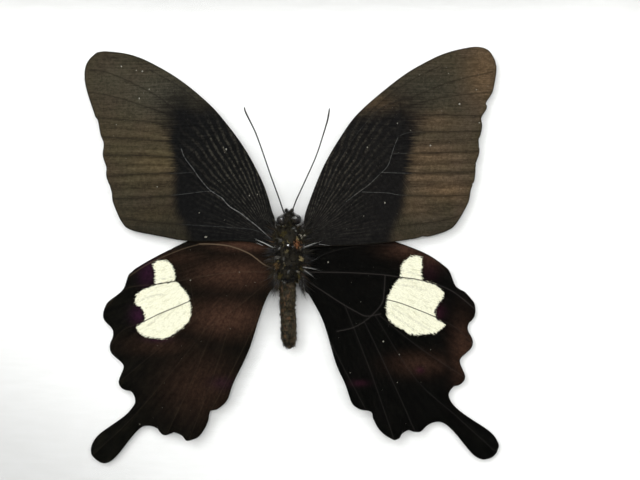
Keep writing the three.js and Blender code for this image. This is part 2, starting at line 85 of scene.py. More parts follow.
class Paint:
    """Builds one node material around a Principled shader."""

    def __init__(self, name, **sockets):
        self.material = bpy.data.materials.new(name)
        self.material.use_nodes = True
        self.tree = self.material.node_tree
        self.shader = self.tree.nodes["Principled BSDF"]
        for socket, value in sockets.items():
            self.shader.inputs[socket.replace("_", " ")].default_value = value

    def node(self, kind, **settings):
        made = self.tree.nodes.new(kind)
        for setting, value in settings.items():
            setattr(made, setting, value)
        return made

    def feed(self, socket, value):
        """Links an output to a socket, or sets the socket to a value."""
        if isinstance(value, bpy.types.NodeSocket):
            self.tree.links.new(value, socket)
        else:
            socket.default_value = value

    def attribute(self, name):
        return self.node("ShaderNodeAttribute", attribute_name=name).outputs["Fac"]

    def math(self, operation, a, b=0.0, c=0.0):
        made = self.node("ShaderNodeMath", operation=operation)
        for socket, value in zip(made.inputs, (a, b, c)):
            self.feed(socket, value)
        return made.outputs[0]

    def times(self, a, b):
        return self.math("MULTIPLY", a, b)

    def plus(self, a, b):
        return self.math("ADD", a, b)

    def minus(self, a, b):
        return self.math("SUBTRACT", a, b)

    def between(self, value, low, high, to_low=0.0, to_high=1.0):
        """Rises smoothly from to_low to to_high while value goes from low to high."""
        made = self.node("ShaderNodeMapRange", interpolation_type="SMOOTHSTEP")
        for socket, number in zip(made.inputs, (value, low, high, to_low, to_high)):
            self.feed(socket, number)
        return made.outputs[0]

    def vector(self, x, y, z=0.0):
        made = self.node("ShaderNodeCombineXYZ")
        for socket, value in zip(made.inputs, (x, y, z)):
            self.feed(socket, value)
        return made.outputs[0]

    def position(self, scale=(1, 1, 1)):
        """Object coordinates in millimetres, times scale."""
        made = self.node("ShaderNodeMapping")
        self.feed(made.inputs["Vector"], self.node("ShaderNodeTexCoord").outputs["Object"])
        made.inputs["Scale"].default_value = [s / MM for s in scale]
        return made.outputs[0]

    def noise(self, vector, scale=1.0, detail=3.0, roughness=0.5, distortion=0.0):
        made = self.node("ShaderNodeTexNoise")
        self.feed(made.inputs["Vector"], vector)
        for socket, value in zip(("Scale", "Detail", "Roughness", "Distortion"),
                                 (scale, detail, roughness, distortion)):
            made.inputs[socket].default_value = value
        return made.outputs["Fac"]

    def cells(self, vector, scale):
        made = self.node("ShaderNodeTexVoronoi")
        self.feed(made.inputs["Vector"], vector)
        made.inputs["Scale"].default_value = scale
        return made.outputs["Distance"]

    def mix(self, amount, a, b, blend="MIX"):
        made = self.node("ShaderNodeMix", data_type="RGBA", blend_type=blend)
        self.feed(made.inputs["Factor"], amount)
        for socket, value in ((made.inputs[6], a), (made.inputs[7], b)):
            self.feed(socket, value if isinstance(value, bpy.types.NodeSocket) else (*value, 1))
        return made.outputs[2]

    def toned(self, colour, tone):
        """The colour made lighter or darker by tone."""
        return self.mix(1.0, colour, self.vector(tone, tone, tone), "MULTIPLY")

    def colour(self, value):
        self.feed(self.shader.inputs["Base Color"], value)

    def bump(self, height, distance, strength=0.6):
        made = self.node("ShaderNodeBump")
        self.feed(made.inputs["Height"], height)
        made.inputs["Distance"].default_value = distance * MM
        made.inputs["Strength"].default_value = strength
        self.feed(self.shader.inputs["Normal"], made.outputs[0])


def wing_texture(p):
    """Streaks that follow the scale rows, finer ones, slow clouds and a fine mottle."""
    run, across = p.attribute("run"), p.attribute("across")
    fibres = p.vector(p.times(run, 0.22), p.times(across, 2.4))
    fine = p.vector(p.times(run, 0.9), p.times(across, 7.0), 3.0)
    clouds, mottle = p.noise(p.position(), 0.16, 3, 0.5), p.noise(p.position(), 1.3, 3, 0.75)
    return p.noise(fibres, 1.0, 5, 0.65), p.noise(fine, 1.0, 3, 0.6), clouds, mottle


def mottled(p, colour, mottle, depth):
    """The colour made up to depth darker and lighter by the mottle."""
    return p.toned(colour, p.between(mottle, 0.34, 0.66, 1 - depth, 1 + depth))


def finish_wing(p, colour, fine, tint):
    """A dark edge, scattered pale scales and a scaly surface."""
    scales = p.cells(p.position((1, 1, 0.45)), 9.0)
    loose = p.between(p.noise(p.position(), 2.6, 2, 0.7), 0.66, 0.76)
    colour = p.mix(p.times(loose, p.attribute("worn")), colour, tint["loose"])
    colour = p.mix(p.between(p.attribute("margin"), 0.0, 0.4, 0.6, 0.0), colour, tint["edge"])
    p.colour(p.toned(colour, p.between(scales, 0.1, 0.6, 1.15, 0.8)))
    p.bump(p.plus(scales, p.times(fine, 1.5)), 0.05, 0.5)
    return p.material


STRIPE = 2.5  # millimetres from one pale stripe between the veins to the next
RAY = 0.062  # radians from one pale ray at the wing base to the next


def forewing_paint(name, tint):
    """Charcoal with pale rays near the body, and outside it olive with stripes between the veins."""
    p = Paint(name, Specular_IOR_Level=0.05, Roughness=0.75)
    fibres, fine, clouds, mottle = wing_texture(p)
    vein, line = p.attribute("vein"), p.attribute("line")
    black = p.mix(p.between(fibres, 0.35, 0.75), tint["black"], tint["smoke"])
    turn = p.math("MULTIPLY_ADD", p.attribute("fan"), 2 * math.pi / RAY, p.times(clouds, 9.0))
    ray = p.times(p.between(p.math("COSINE", turn), -0.1, 1.0), p.attribute("rays"))
    ray = p.times(ray, p.between(fibres, 0.35, 0.6, 0.25, 1.0))
    ray = p.times(ray, p.between(mottle, 0.36, 0.6, 0.2, 1.0))
    black = p.mix(ray, black, tint["ray"])
    broken = p.times(p.between(line, 0.25, 1.0), p.between(mottle, 0.34, 0.56, 0.3, 1.0))
    black = p.mix(broken, mottled(p, black, mottle, 0.3), tint["vein"])
    stripe = p.between(p.math("COSINE", p.times(vein, 2 * math.pi / STRIPE)), -0.8, 0.9)
    stripe = p.times(p.minus(0.5, stripe), p.attribute("stripes"))
    streaks = p.times(p.minus(fibres, 0.5), 1.9)
    olive = p.mix(p.between(clouds, 0.3, 0.7), tint["olive"], tint["brown"])
    olive = p.mix(p.attribute("grey"), olive, tint["grey"])
    olive = p.mix(p.attribute("glow"), olive, tint["glow"])
    bright = p.plus(p.math("MULTIPLY_ADD", stripe, 0.5, 1.0), p.between(fine, 0.3, 0.7, -0.14, 0.14))
    bright = p.math("MAXIMUM", p.plus(bright, streaks), 0.3)
    # The shade attribute is painted shade that darkens the lower forewing
    bright = p.times(bright, p.attribute("shade"))
    olive = mottled(p, p.toned(olive, bright), mottle, 0.22)
    olive = p.mix(p.between(vein, 0.06, 0.3, 0.5, 0.0), olive, tint["vein_dark"])
    wobble = p.times(p.minus(fibres, 0.5), 6.0)
    edge = p.math("DIVIDE", p.plus(p.attribute("zone"), wobble), p.attribute("soft"))
    return finish_wing(p, p.mix(p.between(edge, -1.0, 1.0), black, olive), fine, tint)


def hindwing_paint(name, tint):
    """Near black with faint violet, brown that is partly the wing's own and partly a painted reflection, and
    a cream patch that dark veins cross.
    """
    p = Paint(name, Specular_IOR_Level=0.05, Roughness=0.75)
    fibres, fine, _, mottle = wing_texture(p)
    colour = p.mix(p.between(fibres, 0.35, 0.75), tint["black"], tint["smoke"])
    # Brown from the hindwing spots, partly a painted reflection
    warm = p.times(p.attribute("glow"), p.between(fibres, 0.3, 0.7, 0.55, 1.0))
    colour = p.mix(warm, colour, tint["brown"])
    colour = p.mix(p.attribute("violet"), colour, tint["violet"])
    colour = p.mix(p.attribute("line"), mottled(p, colour, mottle, 0.3), tint["vein"])
    ragged = p.times(p.minus(fine, 0.5), 2.4)
    inside = p.between(p.plus(p.attribute("patch"), ragged), -0.1, 0.14)
    cream = p.mix(p.between(fine, 0.54, 0.64, 0.0, 0.6), tint["cream"], tint["cream_dark"])
    cream = p.mix(p.between(fibres, 0.54, 0.66, 0.0, 0.6), cream, tint["cream_dark"])
    cream = p.mix(p.attribute("crease"), cream, tint["vein_dark"])
    cream = p.mix(p.between(p.attribute("vein"), 0.04, 0.18, 0.95, 0.0), cream, tint["vein_dark"])
    return finish_wing(p, p.mix(inside, colour, cream), fine, tint)


def hair_paint():
    """Each hair carries its own tone, from black to pale, and its own warmth, from grey to golden."""
    p = Paint("hair", Roughness=0.5, Specular_IOR_Level=0.3)
    tone, warm = p.attribute("tone"), p.attribute("warm")
    grey = p.mix(p.between(tone, 0.0, 0.5), (0.004, 0.004, 0.005), (0.06, 0.06, 0.063))
    grey = p.mix(p.between(tone, 0.5, 1.0), grey, (0.66, 0.66, 0.63))
    gold = p.mix(p.between(tone, 0.0, 0.45), (0.006, 0.005, 0.003), (0.075, 0.058, 0.016))
    gold = p.mix(p.between(tone, 0.45, 1.0), gold, (0.6, 0.48, 0.24))
    colour = p.mix(p.between(warm, 0.0, 0.5), grey, gold)
    rust = p.mix(p.between(tone, 0.0, 0.8), (0.012, 0.006, 0.003), (0.34, 0.14, 0.06))
    p.colour(p.mix(p.between(warm, 0.6, 1.0), colour, rust))
    return p.material


def skin_paint():
    p = Paint("body_skin", Roughness=0.7, Specular_IOR_Level=0.15)
    grain = p.noise(p.position(), 4.0, 4, 0.6)
    p.colour(p.mix(p.between(grain, 0.3, 0.7), (0.005, 0.0045, 0.0035), (0.022, 0.018, 0.011)))
    p.bump(grain, 0.12)
    return p.material


def abdomen_paint():
    """Dark olive-brown rings with warm flecks and a paler right flank."""
    p = Paint("abdomen_skin", Roughness=0.6, Specular_IOR_Level=0.2)
    grain = p.noise(p.position((1, 1, 0.5)), 3.0, 4, 0.6)
    fine = p.noise(p.position(), 12.0, 2, 0.6)
    olive = p.mix(p.between(grain, 0.4, 0.6), (0.0025, 0.0024, 0.0015), (0.03, 0.024, 0.012))
    warm = p.between(p.noise(p.position((1, 1, 0.6)), 1.1, 3, 0.6), 0.5, 0.62)
    fleck = p.times(warm, p.between(grain, 0.4, 0.58, 0.1, 0.85))
    olive = p.mix(fleck, olive, (0.085, 0.043, 0.02))
    band = p.times(p.attribute("ring"), p.between(grain, 0.4, 0.65, 0.1, 0.5))
    colour = p.mix(band, olive, (0.085, 0.066, 0.04))
    p.colour(p.mix(p.times(p.attribute("flank"), 0.45), colour, (0.10, 0.078, 0.05)))
    p.bump(fine, 0.06)
    return p.material


def horn_paint():
    p = Paint("horn", Roughness=0.38, Specular_IOR_Level=0.4)
    p.colour(p.mix(p.noise(p.position(), 3.0, 3, 0.6), (0.004, 0.0035, 0.003), (0.022, 0.017, 0.012)))
    return p.material


def eye_paint():
    p = Paint("eye", Roughness=0.2, Specular_IOR_Level=1.0, Coat_Weight=1.0, Coat_Roughness=0.12)
    clouds = p.between(p.noise(p.position(), 1.5, 2, 0.5), 0.35, 0.65)
    p.colour(p.mix(clouds, (0.008, 0.008, 0.009), (0.028, 0.023, 0.02)))
    p.bump(p.cells(p.position(), 11.0), 0.03, 0.15)
    return p.material


def dust_paint():
    p = Paint("dust", Roughness=0.8)
    p.colour(p.mix(p.noise(p.position(), 0.8, 2, 0.5), (0.13, 0.12, 0.09), (0.42, 0.4, 0.34)))
    return p.material


def wood_paint(name, along):
    """Stained walnut with its grain along one axis."""
    p = Paint(name, Roughness=0.38, Coat_Weight=0.25, Coat_Roughness=0.22, Specular_IOR_Level=0.4)
    stretch = [0.035 if axis == along else 1.0 for axis in "xyz"]
    figure = p.noise(p.position(stretch), 0.34, 5, 0.6, 0.9)
    pores = p.noise(p.position([s * 0.5 if s < 1 else s for s in stretch]), 4.2, 3, 0.7)
    rings = p.math("FRACT", p.times(figure, 5.0))
    rings = p.between(p.math("ABSOLUTE", p.minus(rings, 0.5)), 0.08, 0.42)
    colour = p.mix(rings, (0.055, 0.022, 0.011), (0.135, 0.06, 0.028))
    slow = p.between(p.noise(p.position(stretch), 0.09, 2, 0.5), 0.35, 0.7, 0.0, 0.6)
    colour = p.mix(slow, colour, (0.05, 0.02, 0.01))
    pore = p.between(pores, 0.56, 0.68)
    p.colour(p.mix(p.times(pore, 0.7), colour, (0.015, 0.007, 0.004)))
    p.feed(p.shader.inputs["Roughness"], p.between(pores, 0.3, 0.7, 0.3, 0.55))
    p.bump(p.minus(p.times(rings, 0.15), pore), 0.06, 0.5)
    return p.material


BODY_SHADE = (8.5, 27.0)  # half width and half height in millimetres of the shade around the body


def board_paint():
    """White paper over foam, with faint level fibres, and painted shade around the body, towards the lower
    left and towards the bottom.
    """
    p = Paint("mount_paper", Roughness=0.85, Specular_IOR_Level=0.2)
    fibres = p.noise(p.position((0.12, 1, 1)), 0.9, 4, 0.6)
    grain = p.noise(p.position(), 3.5, 3, 0.6)
    colour = p.mix(p.between(fibres, 0.35, 0.7), (0.92, 0.92, 0.91), (0.955, 0.955, 0.95))
    colour = p.mix(p.between(grain, 0.45, 0.75, 0.0, 0.3), colour, (0.88, 0.88, 0.865))
    split = p.node("ShaderNodeSeparateXYZ")
    p.feed(split.inputs[0], p.position())
    across = split.outputs["X"]
    below = p.minus(MIDDLE_Z / MM, split.outputs["Z"])
    # Painted shade: darker towards the lower left and towards the bottom
    lower_left_shade = p.between(p.minus(below, across), 60.0, 130.0, 1.0, 0.72)
    tone = p.times(lower_left_shade, p.between(below, 20.0, 68.0, 1.0, 0.86))
    # Painted shade: the paper darker in an oval around the body
    beside = p.math("DIVIDE", p.minus(across, BODY_X / MM), BODY_SHADE[0])
    along = p.math("DIVIDE", below, BODY_SHADE[1])
    squares = p.plus(p.times(beside, beside), p.times(along, along))
    tone = p.times(tone, p.between(p.math("SQRT", squares), 0.35, 1.0, 0.8, 1.0))
    p.colour(p.toned(colour, tone))
    p.bump(p.plus(grain, fibres), 0.05, 0.35)
    return p.material


def hardboard_paint():
    p = Paint("hardboard", Roughness=0.75, Specular_IOR_Level=0.3)
    chips = p.cells(p.position(), 0.9)
    fibres = p.noise(p.position(), 1.6, 5, 0.65)
    clouds = p.noise(p.position(), 0.05, 2, 0.5)
    colour = p.mix(p.between(fibres, 0.3, 0.72), (0.13, 0.07, 0.034), (0.27, 0.165, 0.085))
    colour = p.mix(p.between(clouds, 0.35, 0.7, 0.0, 0.35), colour, (0.11, 0.065, 0.035))
    p.colour(p.mix(p.between(chips, 0.05, 0.5, 0.25, 0.0), colour, (0.35, 0.23, 0.13)))
    p.bump(fibres, 0.12, 0.5)
    return p.material


def metal_paint(name, bright, dull, roughness):
    p = Paint(name, Metallic=1.0)
    worn = p.noise(p.position(), 0.7, 4, 0.65)
    scratches = p.noise(p.position((0.15, 1, 1)), 9.0, 2, 0.6)
    p.colour(p.mix(p.between(worn, 0.42, 0.7), bright, dull))
    p.feed(p.shader.inputs["Roughness"], p.between(scratches, 0.3, 0.7, roughness, roughness + 0.2))
    p.bump(scratches, 0.02, 0.4)
    return p.material


def rubber_paint():
    p = Paint("rubber", Roughness=0.75, Specular_IOR_Level=0.3)
    dust = p.noise(p.position(), 1.2, 4, 0.6)
    p.colour(p.mix(p.between(dust, 0.45, 0.75), (0.012, 0.012, 0.012), (0.05, 0.048, 0.045)))
    p.bump(dust, 0.05)
    return p.material


def glass_paint():
    p = Paint("clear_glass", Roughness=0.0, IOR=1.5, Transmission_Weight=1.0)
    p.shader.inputs["Base Color"].default_value = (0.985, 0.995, 0.99, 1)
    return p.material


# Shapes from outlines

def spline(points, step):
    """A smooth curve through the points, as points about step apart."""
    points = np.asarray(points, float)
    padded = np.vstack([2 * points[0] - points[1], points, 2 * points[-1] - points[-2]])
    run = []
    for before, a, b, after in zip(padded, padded[1:], padded[2:], padded[3:]):
        count = max(1, round(np.linalg.norm(b - a) / step))
        t = (np.arange(count) / count)[:, None]
        run.append(0.5 * (2 * a + (b - before) * t + (2 * before - 5 * a + 4 * b - after) * t ** 2
                          + (3 * a - before - 3 * b + after) * t ** 3))
    return np.vstack(run + [points[-1:]])


def distance_to(points, line):
    """Distance from each point to a line of points."""
    best = np.full(len(points), np.inf)
    for start, end in zip(line, line[1:]):
        span = end - start
        t = np.clip((points - start) @ span / max(span @ span, 1e-18), 0, 1)
        best = np.minimum(best, np.linalg.norm(points - start - t[:, None] * span, axis=1))
    return best


def is_inside(points, loop):
    x, z = points.T
    odd = np.zeros(len(points), bool)
    for (ax, az), (bx, bz) in zip(loop, np.roll(loop, -1, axis=0)):
        crossed = (az > z) != (bz > z)
        odd ^= crossed & (x < ax + (z - az) / (bz - az if bz != az else 1) * (bx - ax))
    return odd


def depth_in(points, loop):
    """Distance to a closed loop, positive inside it."""
    ring = np.vstack([loop, loop[:1]])
    return distance_to(points, ring) * np.where(is_inside(points, loop), 1, -1)


def add_mesh(name, points, faces, material, slot, replaced=(), smooth=True, **attributes):
    """Makes a piece that rides with the frame, from points in metres and faces."""
    mesh = bpy.data.meshes.new(name)
    mesh.from_pydata([tuple(p) for p in points], [], faces)
    mesh.validate()
    for attribute, values in attributes.items():
        layer = mesh.attributes.new(attribute, "FLOAT", "POINT")
        layer.data.foreach_set("value", np.asarray(values, np.float32))
    if smooth:
        mesh.shade_smooth()
    mesh.materials.append(material)
    piece = bpy.data.objects.new(name, mesh)
    bpy.context.scene.collection.objects.link(piece)
    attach(piece, "root")
    if replaced:
        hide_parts(*replaced)
    return piece


def front_of(node):
    """The closed outline of a wing node seen from the front, and the slope of its front face."""
    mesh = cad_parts[node].data
    edges = {}
    for face in mesh.polygons:
        if face.normal.y < -0.9:
            corners = [tuple(np.round(np.array(mesh.vertices[i].co), 7)) for i in face.vertices]
            edges.update(dict.fromkeys(zip(corners, corners[1:] + corners[:1])))
    border = {a: b for a, b in edges if (b, a) not in edges}
    start = next(iter(border))
    loop = [start]
    while border[loop[-1]] != start:
        loop.append(border[loop[-1]])
    loop = np.array(loop)
    slope, level = np.polyfit(loop[:, 0], loop[:, 1], 1)
    return loop[:, [0, 2]], slope, level


# Wings

GRID = 0.42 * MM  # spacing of the wing's surface points
VEIN_STEP = 0.4 * MM
VEIN_HALF = 0.2 * MM
MEMBRANE = 0.16 * MM
SIDES = ("left", "right")
OUTWARD = {"left": -1, "right": 1}
BASE_PX = {"left": (274, 240), "right": (303, 240)}  # where the scale rows fan out from
WINGS = [f"{pair}wing_{side}" for pair in ("fore", "hind") for side in SIDES]
FRONTS = {wing: front_of(wing) for wing in WINGS}


def on_wing(node, px):
    """Photograph pixels as x and z on a wing's sloping front."""
    _, slope, level = FRONTS[node]
    return flat(px, level + slope * flat(px)[..., 0])


def grid_inside(outline, spacing):
    """Points of a slightly shaken triangular grid inside a loop."""
    low, high = outline.min(0), outline.max(0)
    rows = np.arange(low[1], high[1], spacing * 0.866)
    points = [(x + (i % 2) * spacing / 2, z) for i, z in enumerate(rows)
              for x in np.arange(low[0], high[0], spacing)]
    rng = np.random.default_rng(3)
    points = np.array(points) + rng.uniform(-0.12, 0.12, (len(points), 2)) * spacing
    return points[depth_in(points, outline) > 0.6 * spacing]


def fray(outline, worn):
    """Small nicks along the outer margin, and nothing near the body."""
    rng = np.random.default_rng(11)
    middle = outline.mean(0)
    out = outline - middle
    out /= np.linalg.norm(out, axis=1)[:, None]
    far = np.clip((np.abs(outline[:, 0] - BODY_X) / MM - 18) / 10, 0, 1)
    nick = np.maximum(0, rng.normal(0, 1, len(outline)) - 0.9) * worn * MM
    return outline - out * (nick * far)[:, None]


def build_wing(side, pair, material, veins_px, **looks):
    """A thin scaled membrane in the place of one wing plate. Each look adds a point attribute."""
    node = f"{pair}wing_{side}"
    loop, slope, level = FRONTS[node]
    outline = fray(spline(np.vstack([loop, loop[:1]]), GRID)[:-1], 0.07)
    veins = [spline(on_wing(node, line), VEIN_STEP) for line, _ in veins_px]
    on_veins = np.vstack([vein_rows(vein) for vein in veins])
    on_veins = on_veins[depth_in(on_veins, outline) > 0.3 * GRID]
    inner = grid_inside(outline, GRID)
    inner = inner[np.min([distance_to(inner, v) for v in veins], axis=0) > VEIN_HALF * 1.8]
    edges = [(i, (i + 1) % len(outline)) for i in range(len(outline))]
    seeds = [Vector(p) / MM for p in np.vstack([outline, on_veins, inner])]
    found = geometry.delaunay_2d_cdt(seeds, edges, [], 1, 1e-4)
    spots = np.array([tuple(v) for v in found[0]]) * MM
    distances = np.array([distance_to(spots, v) for v in veins]) / MM
    vein = distances.min(0)
    line = (np.exp(-(distances / 0.11) ** 2) * np.array([[strength] for _, strength in veins_px])).max(0)
    margin = distance_to(spots, np.vstack([outline, outline[:1]])) / MM
    depth = level + slope * spots[:, 0] - wing_relief(spots, vein, margin)
    front = np.column_stack([spots[:, 0], depth, spots[:, 1]])
    faces = orient(front, [list(f) for f in found[2]])
    count = len(front)
    solid = faces + [[i + count for i in reversed(f)] for f in faces]
    solid += [[b, a, a + count, b + count] for a, b in rim_of(faces)]

    away = (spots - on_wing(node, BASE_PX[side])) / MM
    reach = np.hypot(*away.T)
    angle = np.arctan2(away[:, 1], np.abs(away[:, 0]))
    level_rows = np.clip((reach - 18) / 12, 0, 1) if pair == "fore" else 0
    values = dict(vein=vein, line=line, margin=margin, run=reach, fan=angle,
                  across=(1 - level_rows) * angle * 20 + level_rows * spots[:, 1] / MM)
    values.update({name: look(node, spots) for name, look in looks.items()})
    return add_mesh(node + "_scaled", np.vstack([front, front + [0, MEMBRANE, 0]]), solid, material,
                    "wing_scales", [node], **{name: np.tile(v, 2) for name, v in values.items()})


def vein_rows(vein):
    """Points along a vein and on both its flanks."""
    run = np.gradient(vein, axis=0)
    run /= np.linalg.norm(run, axis=1)[:, None]
    side = np.column_stack([-run[:, 1], run[:, 0]])
    return np.vstack([vein, vein + side * VEIN_HALF, vein - side * VEIN_HALF])


def orient(points, faces):
    """Turns every face so that it looks towards -Y."""
    turned = []
    for face in faces:
        a, b, c = (points[i] for i in face[:3])
        turned.append(face if np.cross(b - a, c - a)[1] < 0 else face[::-1])
    return turned


def rim_of(faces):
    """The edges that only one face uses, in that face's direction."""
    used = {(a, b) for f in faces for a, b in zip(f, f[1:] + f[:1])}
    return [(a, b) for a, b in used if (b, a) not in used]


def wing_relief(points, vein, margin):
    """How far the surface stands out: raised veins, hollows between them and a soft wave."""
    ridge = 0.09 * np.exp(-(vein / 0.17) ** 2)
    hollow = -0.12 * (1 - np.exp(-(vein / 1.6) ** 2))
    free = np.clip((np.abs(points[:, 0] - BODY_X) / MM - 6) / 14, 0, 1)
    wave = np.array([noise.noise(Vector((x * 70, 0, z * 70))) for x, z in points])
    crease = np.array([noise.noise(Vector((x * 320, 5, z * 320))) for x, z in points])
    curl = -0.2 * np.exp(-(margin / 1.5) ** 2)
    return (ridge + (hollow + 0.3 * wave + 0.05 * crease + curl) * free - 0.1) * MM


def spots_look(spots_px):
    """Soft spots, given by pixel, half width and half height in millimetres and strength."""
    def look(node, points):
        total = np.zeros(len(points))
        for px, wide, high, strength in spots_px:
            away = (points - on_wing(node, px)) / MM / (wide, high)
            total = np.maximum(total, strength * np.exp(-(away ** 2).sum(axis=1)))
        return total
    return look


def depth_look(*loops_px):
    """Millimetres inside the nearest of the loops, negative outside them."""
    def look(node, points):
        loops = [spline(on_wing(node, loop + loop[:1]), 0.3 * MM) for loop in loops_px]
        return np.max([depth_in(points, loop) for loop in loops], axis=0) / MM
    return look


def line_look(lines_px, half_width, strength):
    """Lines with soft edges, half_width millimetres to each side."""
    def look(node, points):
        away = [distance_to(points, spline(on_wing(node, line), VEIN_STEP)) for line in lines_px]
        return strength * np.exp(-(np.min(away, axis=0) / MM / half_width) ** 2)
    return look


def slope_look(start_px, end_px, start, end):
    """Goes evenly from start to end between two pixels, and stays level beyond them."""
    def look(node, points):
        a, b = on_wing(node, start_px), on_wing(node, end_px)
        share = (points - a) @ (b - a) / ((b - a) @ (b - a))
        return start + (end - start) * np.clip(share, 0, 1)
    return look


# Wing veins and markings, in photograph pixels

# Each vein has how clearly it shows as a pale line
FOREWING_VEINS = {
    "left": [
        ([(272, 240), (258, 227), (250, 220.7), (240, 212.8), (230, 206.7), (222, 198)], 1.0),
        ([(222, 198), (209.6, 189.7), (200, 178.7), (194, 170), (185, 158), (181.6, 149.5)], 0.75),
        ([(181.6, 149.5), (179, 140), (181, 128), (186, 121)], 0.3),
        ([(272, 230), (262, 206), (251, 184), (238, 164), (222, 144), (205, 129), (190, 121), (172, 107),
          (150, 92), (112, 74), (90, 70)], 0.3),
        ([(273, 226), (266, 203), (255, 176), (240, 150), (220, 126), (200, 104), (180, 87),
          (150, 70)], 0.35),
        ([(186, 121), (150, 108), (115, 97), (88, 92)], 0.1),
        ([(181, 130), (150, 122), (96, 118)], 0.1),
        ([(180, 143), (150, 140), (101, 137)], 0.1),
        ([(185, 158), (150, 156), (103.5, 155)], 0.35),
        ([(195, 172), (177, 173.4), (140, 174), (106.5, 176)], 0.5),
        ([(215, 192), (205, 191.5), (185, 194), (150, 197.5), (112.5, 199)], 0.55),
        ([(273, 243), (257.5, 231), (230, 227.5), (183, 224.5), (150, 222), (119.5, 218)], 0.5),
    ],
    "right": [
        ([(304, 241), (325, 226), (340, 209), (346.6, 201.4)], 0.4),
        ([(346.6, 201.4), (360.8, 190.6), (368, 185.5), (379, 175), (387.6, 166), (391.8, 153.9),
          (395, 144.4), (398.5, 136)], 0.65),
        ([(398.5, 136), (401, 122), (400, 101)], 0.2),
        ([(304, 230), (316, 206), (330, 180), (345, 152), (360, 130), (376, 112.5), (386, 106),
          (400, 100), (417.5, 95), (450, 82), (492, 72)], 0.45),
        ([(303, 226), (312, 200), (324, 172), (342, 144), (364, 118), (388, 96), (412, 80),
          (440, 66)], 0.3),
        ([(402, 108), (440, 98), (491, 92)], 0.15),
        ([(404, 118), (440, 115), (481, 116)], 0.1),
        ([(398.5, 136), (412, 132.4), (440, 132), (481.5, 131)], 0.5),
        ([(391.8, 153.9), (430, 153), (479, 151)], 0.5),
        ([(380, 172.4), (405, 173.2), (440, 173), (475.4, 172)], 0.6),
        ([(362, 192), (387.6, 193), (400, 195), (435, 196), (470, 195)], 0.6),
        ([(304, 246), (330, 238), (360, 232), (400, 226), (440, 221), (461, 215)], 0.2),
    ],
}

HINDWING_VEINS = {
    "left": [
        ([(272, 268), (264, 264.4), (256.5, 258.7), (250, 254), (240, 249.4), (230, 246.2), (221, 244.8),
          (210, 244), (200, 244)], 1.0),
        ([(200, 244), (180, 250), (150, 263), (128, 277)], 0.4),
        ([(268, 272), (235, 272), (205, 276), (190, 279), (176, 281.2), (155.6, 284.3), (125, 289),
          (105, 309)], 0.1),
        ([(190, 279), (192, 292), (196, 312), (205, 330)], 0.05),
        ([(270, 280), (240, 305), (205, 330)], 0.08),
        ([(192, 300), (184, 303.5), (170, 309.5), (160, 313.5), (144.5, 321), (122, 331),
          (110.5, 347)], 0.06),
        ([(198, 318), (160, 348), (119.4, 382)], 0.06),
        ([(205, 330), (165, 380), (130, 420), (93, 455)], 0.06),
        ([(215, 325), (190, 385), (167, 434)], 0.06),
        ([(235, 308), (212, 380), (189, 440)], 0.06),
        ([(272, 285), (245, 345), (211, 411)], 0.08),
    ],
    "right": [
        ([(306, 268), (325, 254), (360, 246), (399, 246), (430, 257), (451, 279)], 0.04),
        ([(308, 272), (345, 272.5), (380, 274.5), (399.8, 277.1), (420.6, 280.2), (450, 290),
          (475, 309)], 0.16),
        ([(385, 276), (384, 292), (382, 303), (373, 314), (362, 323), (350, 328.5), (338, 331)], 0.15),
        ([(306, 280), (341, 303), (355, 311), (366, 316), (380, 314)], 0.16),
        ([(385, 299), (400.4, 303.1), (415.4, 308.8), (435, 316.9), (456, 328), (472, 343)], 0.05),
        ([(380, 316), (420, 348), (464, 377)], 0.06),
        ([(374, 314), (415, 378), (455, 415), (494, 450)], 0.05),
        ([(364, 321), (392, 380), (415, 431)], 0.07),
        ([(345, 306), (370, 370), (394, 439)], 0.07),
        ([(304, 285), (332, 345), (366, 410)], 0.07),
    ],
}

PATCHES = {
    "left": [
        [(152.7, 263.3), (159.6, 260.4), (165.4, 260.6), (170, 262.7), (173.5, 267.9), (175.2, 273.1),
         (175.4, 279.4), (170, 281.2), (161.3, 283.2), (155.6, 284), (154.8, 271.9), (153.3, 266.7)],
        [(155.6, 284.4), (150.4, 286.9), (143.5, 289.8), (137.7, 293.3), (135.4, 297.9), (135.6, 303.1),
         (138.3, 306), (141.2, 306.5), (142.3, 310.6), (145.2, 315.8), (145.4, 318.1), (144, 321),
         (140, 324.4), (137.1, 326.7), (137.7, 330.2), (141.2, 334.2), (146.9, 336.8), (155, 337.9),
         (164.2, 338.5), (168.8, 337.1), (173.2, 334.4), (179.4, 329.8), (185.2, 325), (189.3, 320),
         (191.3, 311.2), (190.8, 304.2), (189.8, 299.6), (187.3, 293.8), (181.5, 286.9), (175.8, 281.5),
         (168.8, 282.3)],
    ],
    "right": [
        [(422.3, 259.8), (421.2, 256.9), (415.4, 255.5), (409.6, 256.9), (403.8, 261.5), (401, 267.3),
         (400.4, 274.2), (400.6, 277.1), (410.8, 278.6), (421.7, 280), (421.2, 273.1), (421.7, 266.2)],
        [(399.8, 277.7), (395.8, 282.3), (391.2, 289.2), (387.7, 297.3), (386, 304.2), (386.5, 313.5),
         (389.4, 320.4), (395.8, 325.6), (401.5, 328.5), (407.3, 333.1), (415.4, 335.2), (422.3, 334.2),
         (432.7, 333.7), (439.6, 330.2), (445.1, 325), (440.2, 321), (436.2, 318.3), (435.2, 311.2),
         (437.3, 305.4), (442.5, 298.5), (443.7, 293.8), (440.2, 288.7), (432.7, 283.5), (421.2, 280.4)],
    ],
}

# Faint folds in the patches
CREASES = {
    "left": [[(154, 280), (165, 278.4), (176, 276.4)], [(147, 326), (165, 312), (180, 303)],
             [(141, 300), (152, 296), (165, 294)]],
    "right": [[(400, 270), (411, 272.8), (422, 276.4)], [(392, 308), (410, 318), (430, 330)],
              [(394, 284), (410, 286), (424, 291)], [(387, 312), (402, 321), (416, 331)]],
}

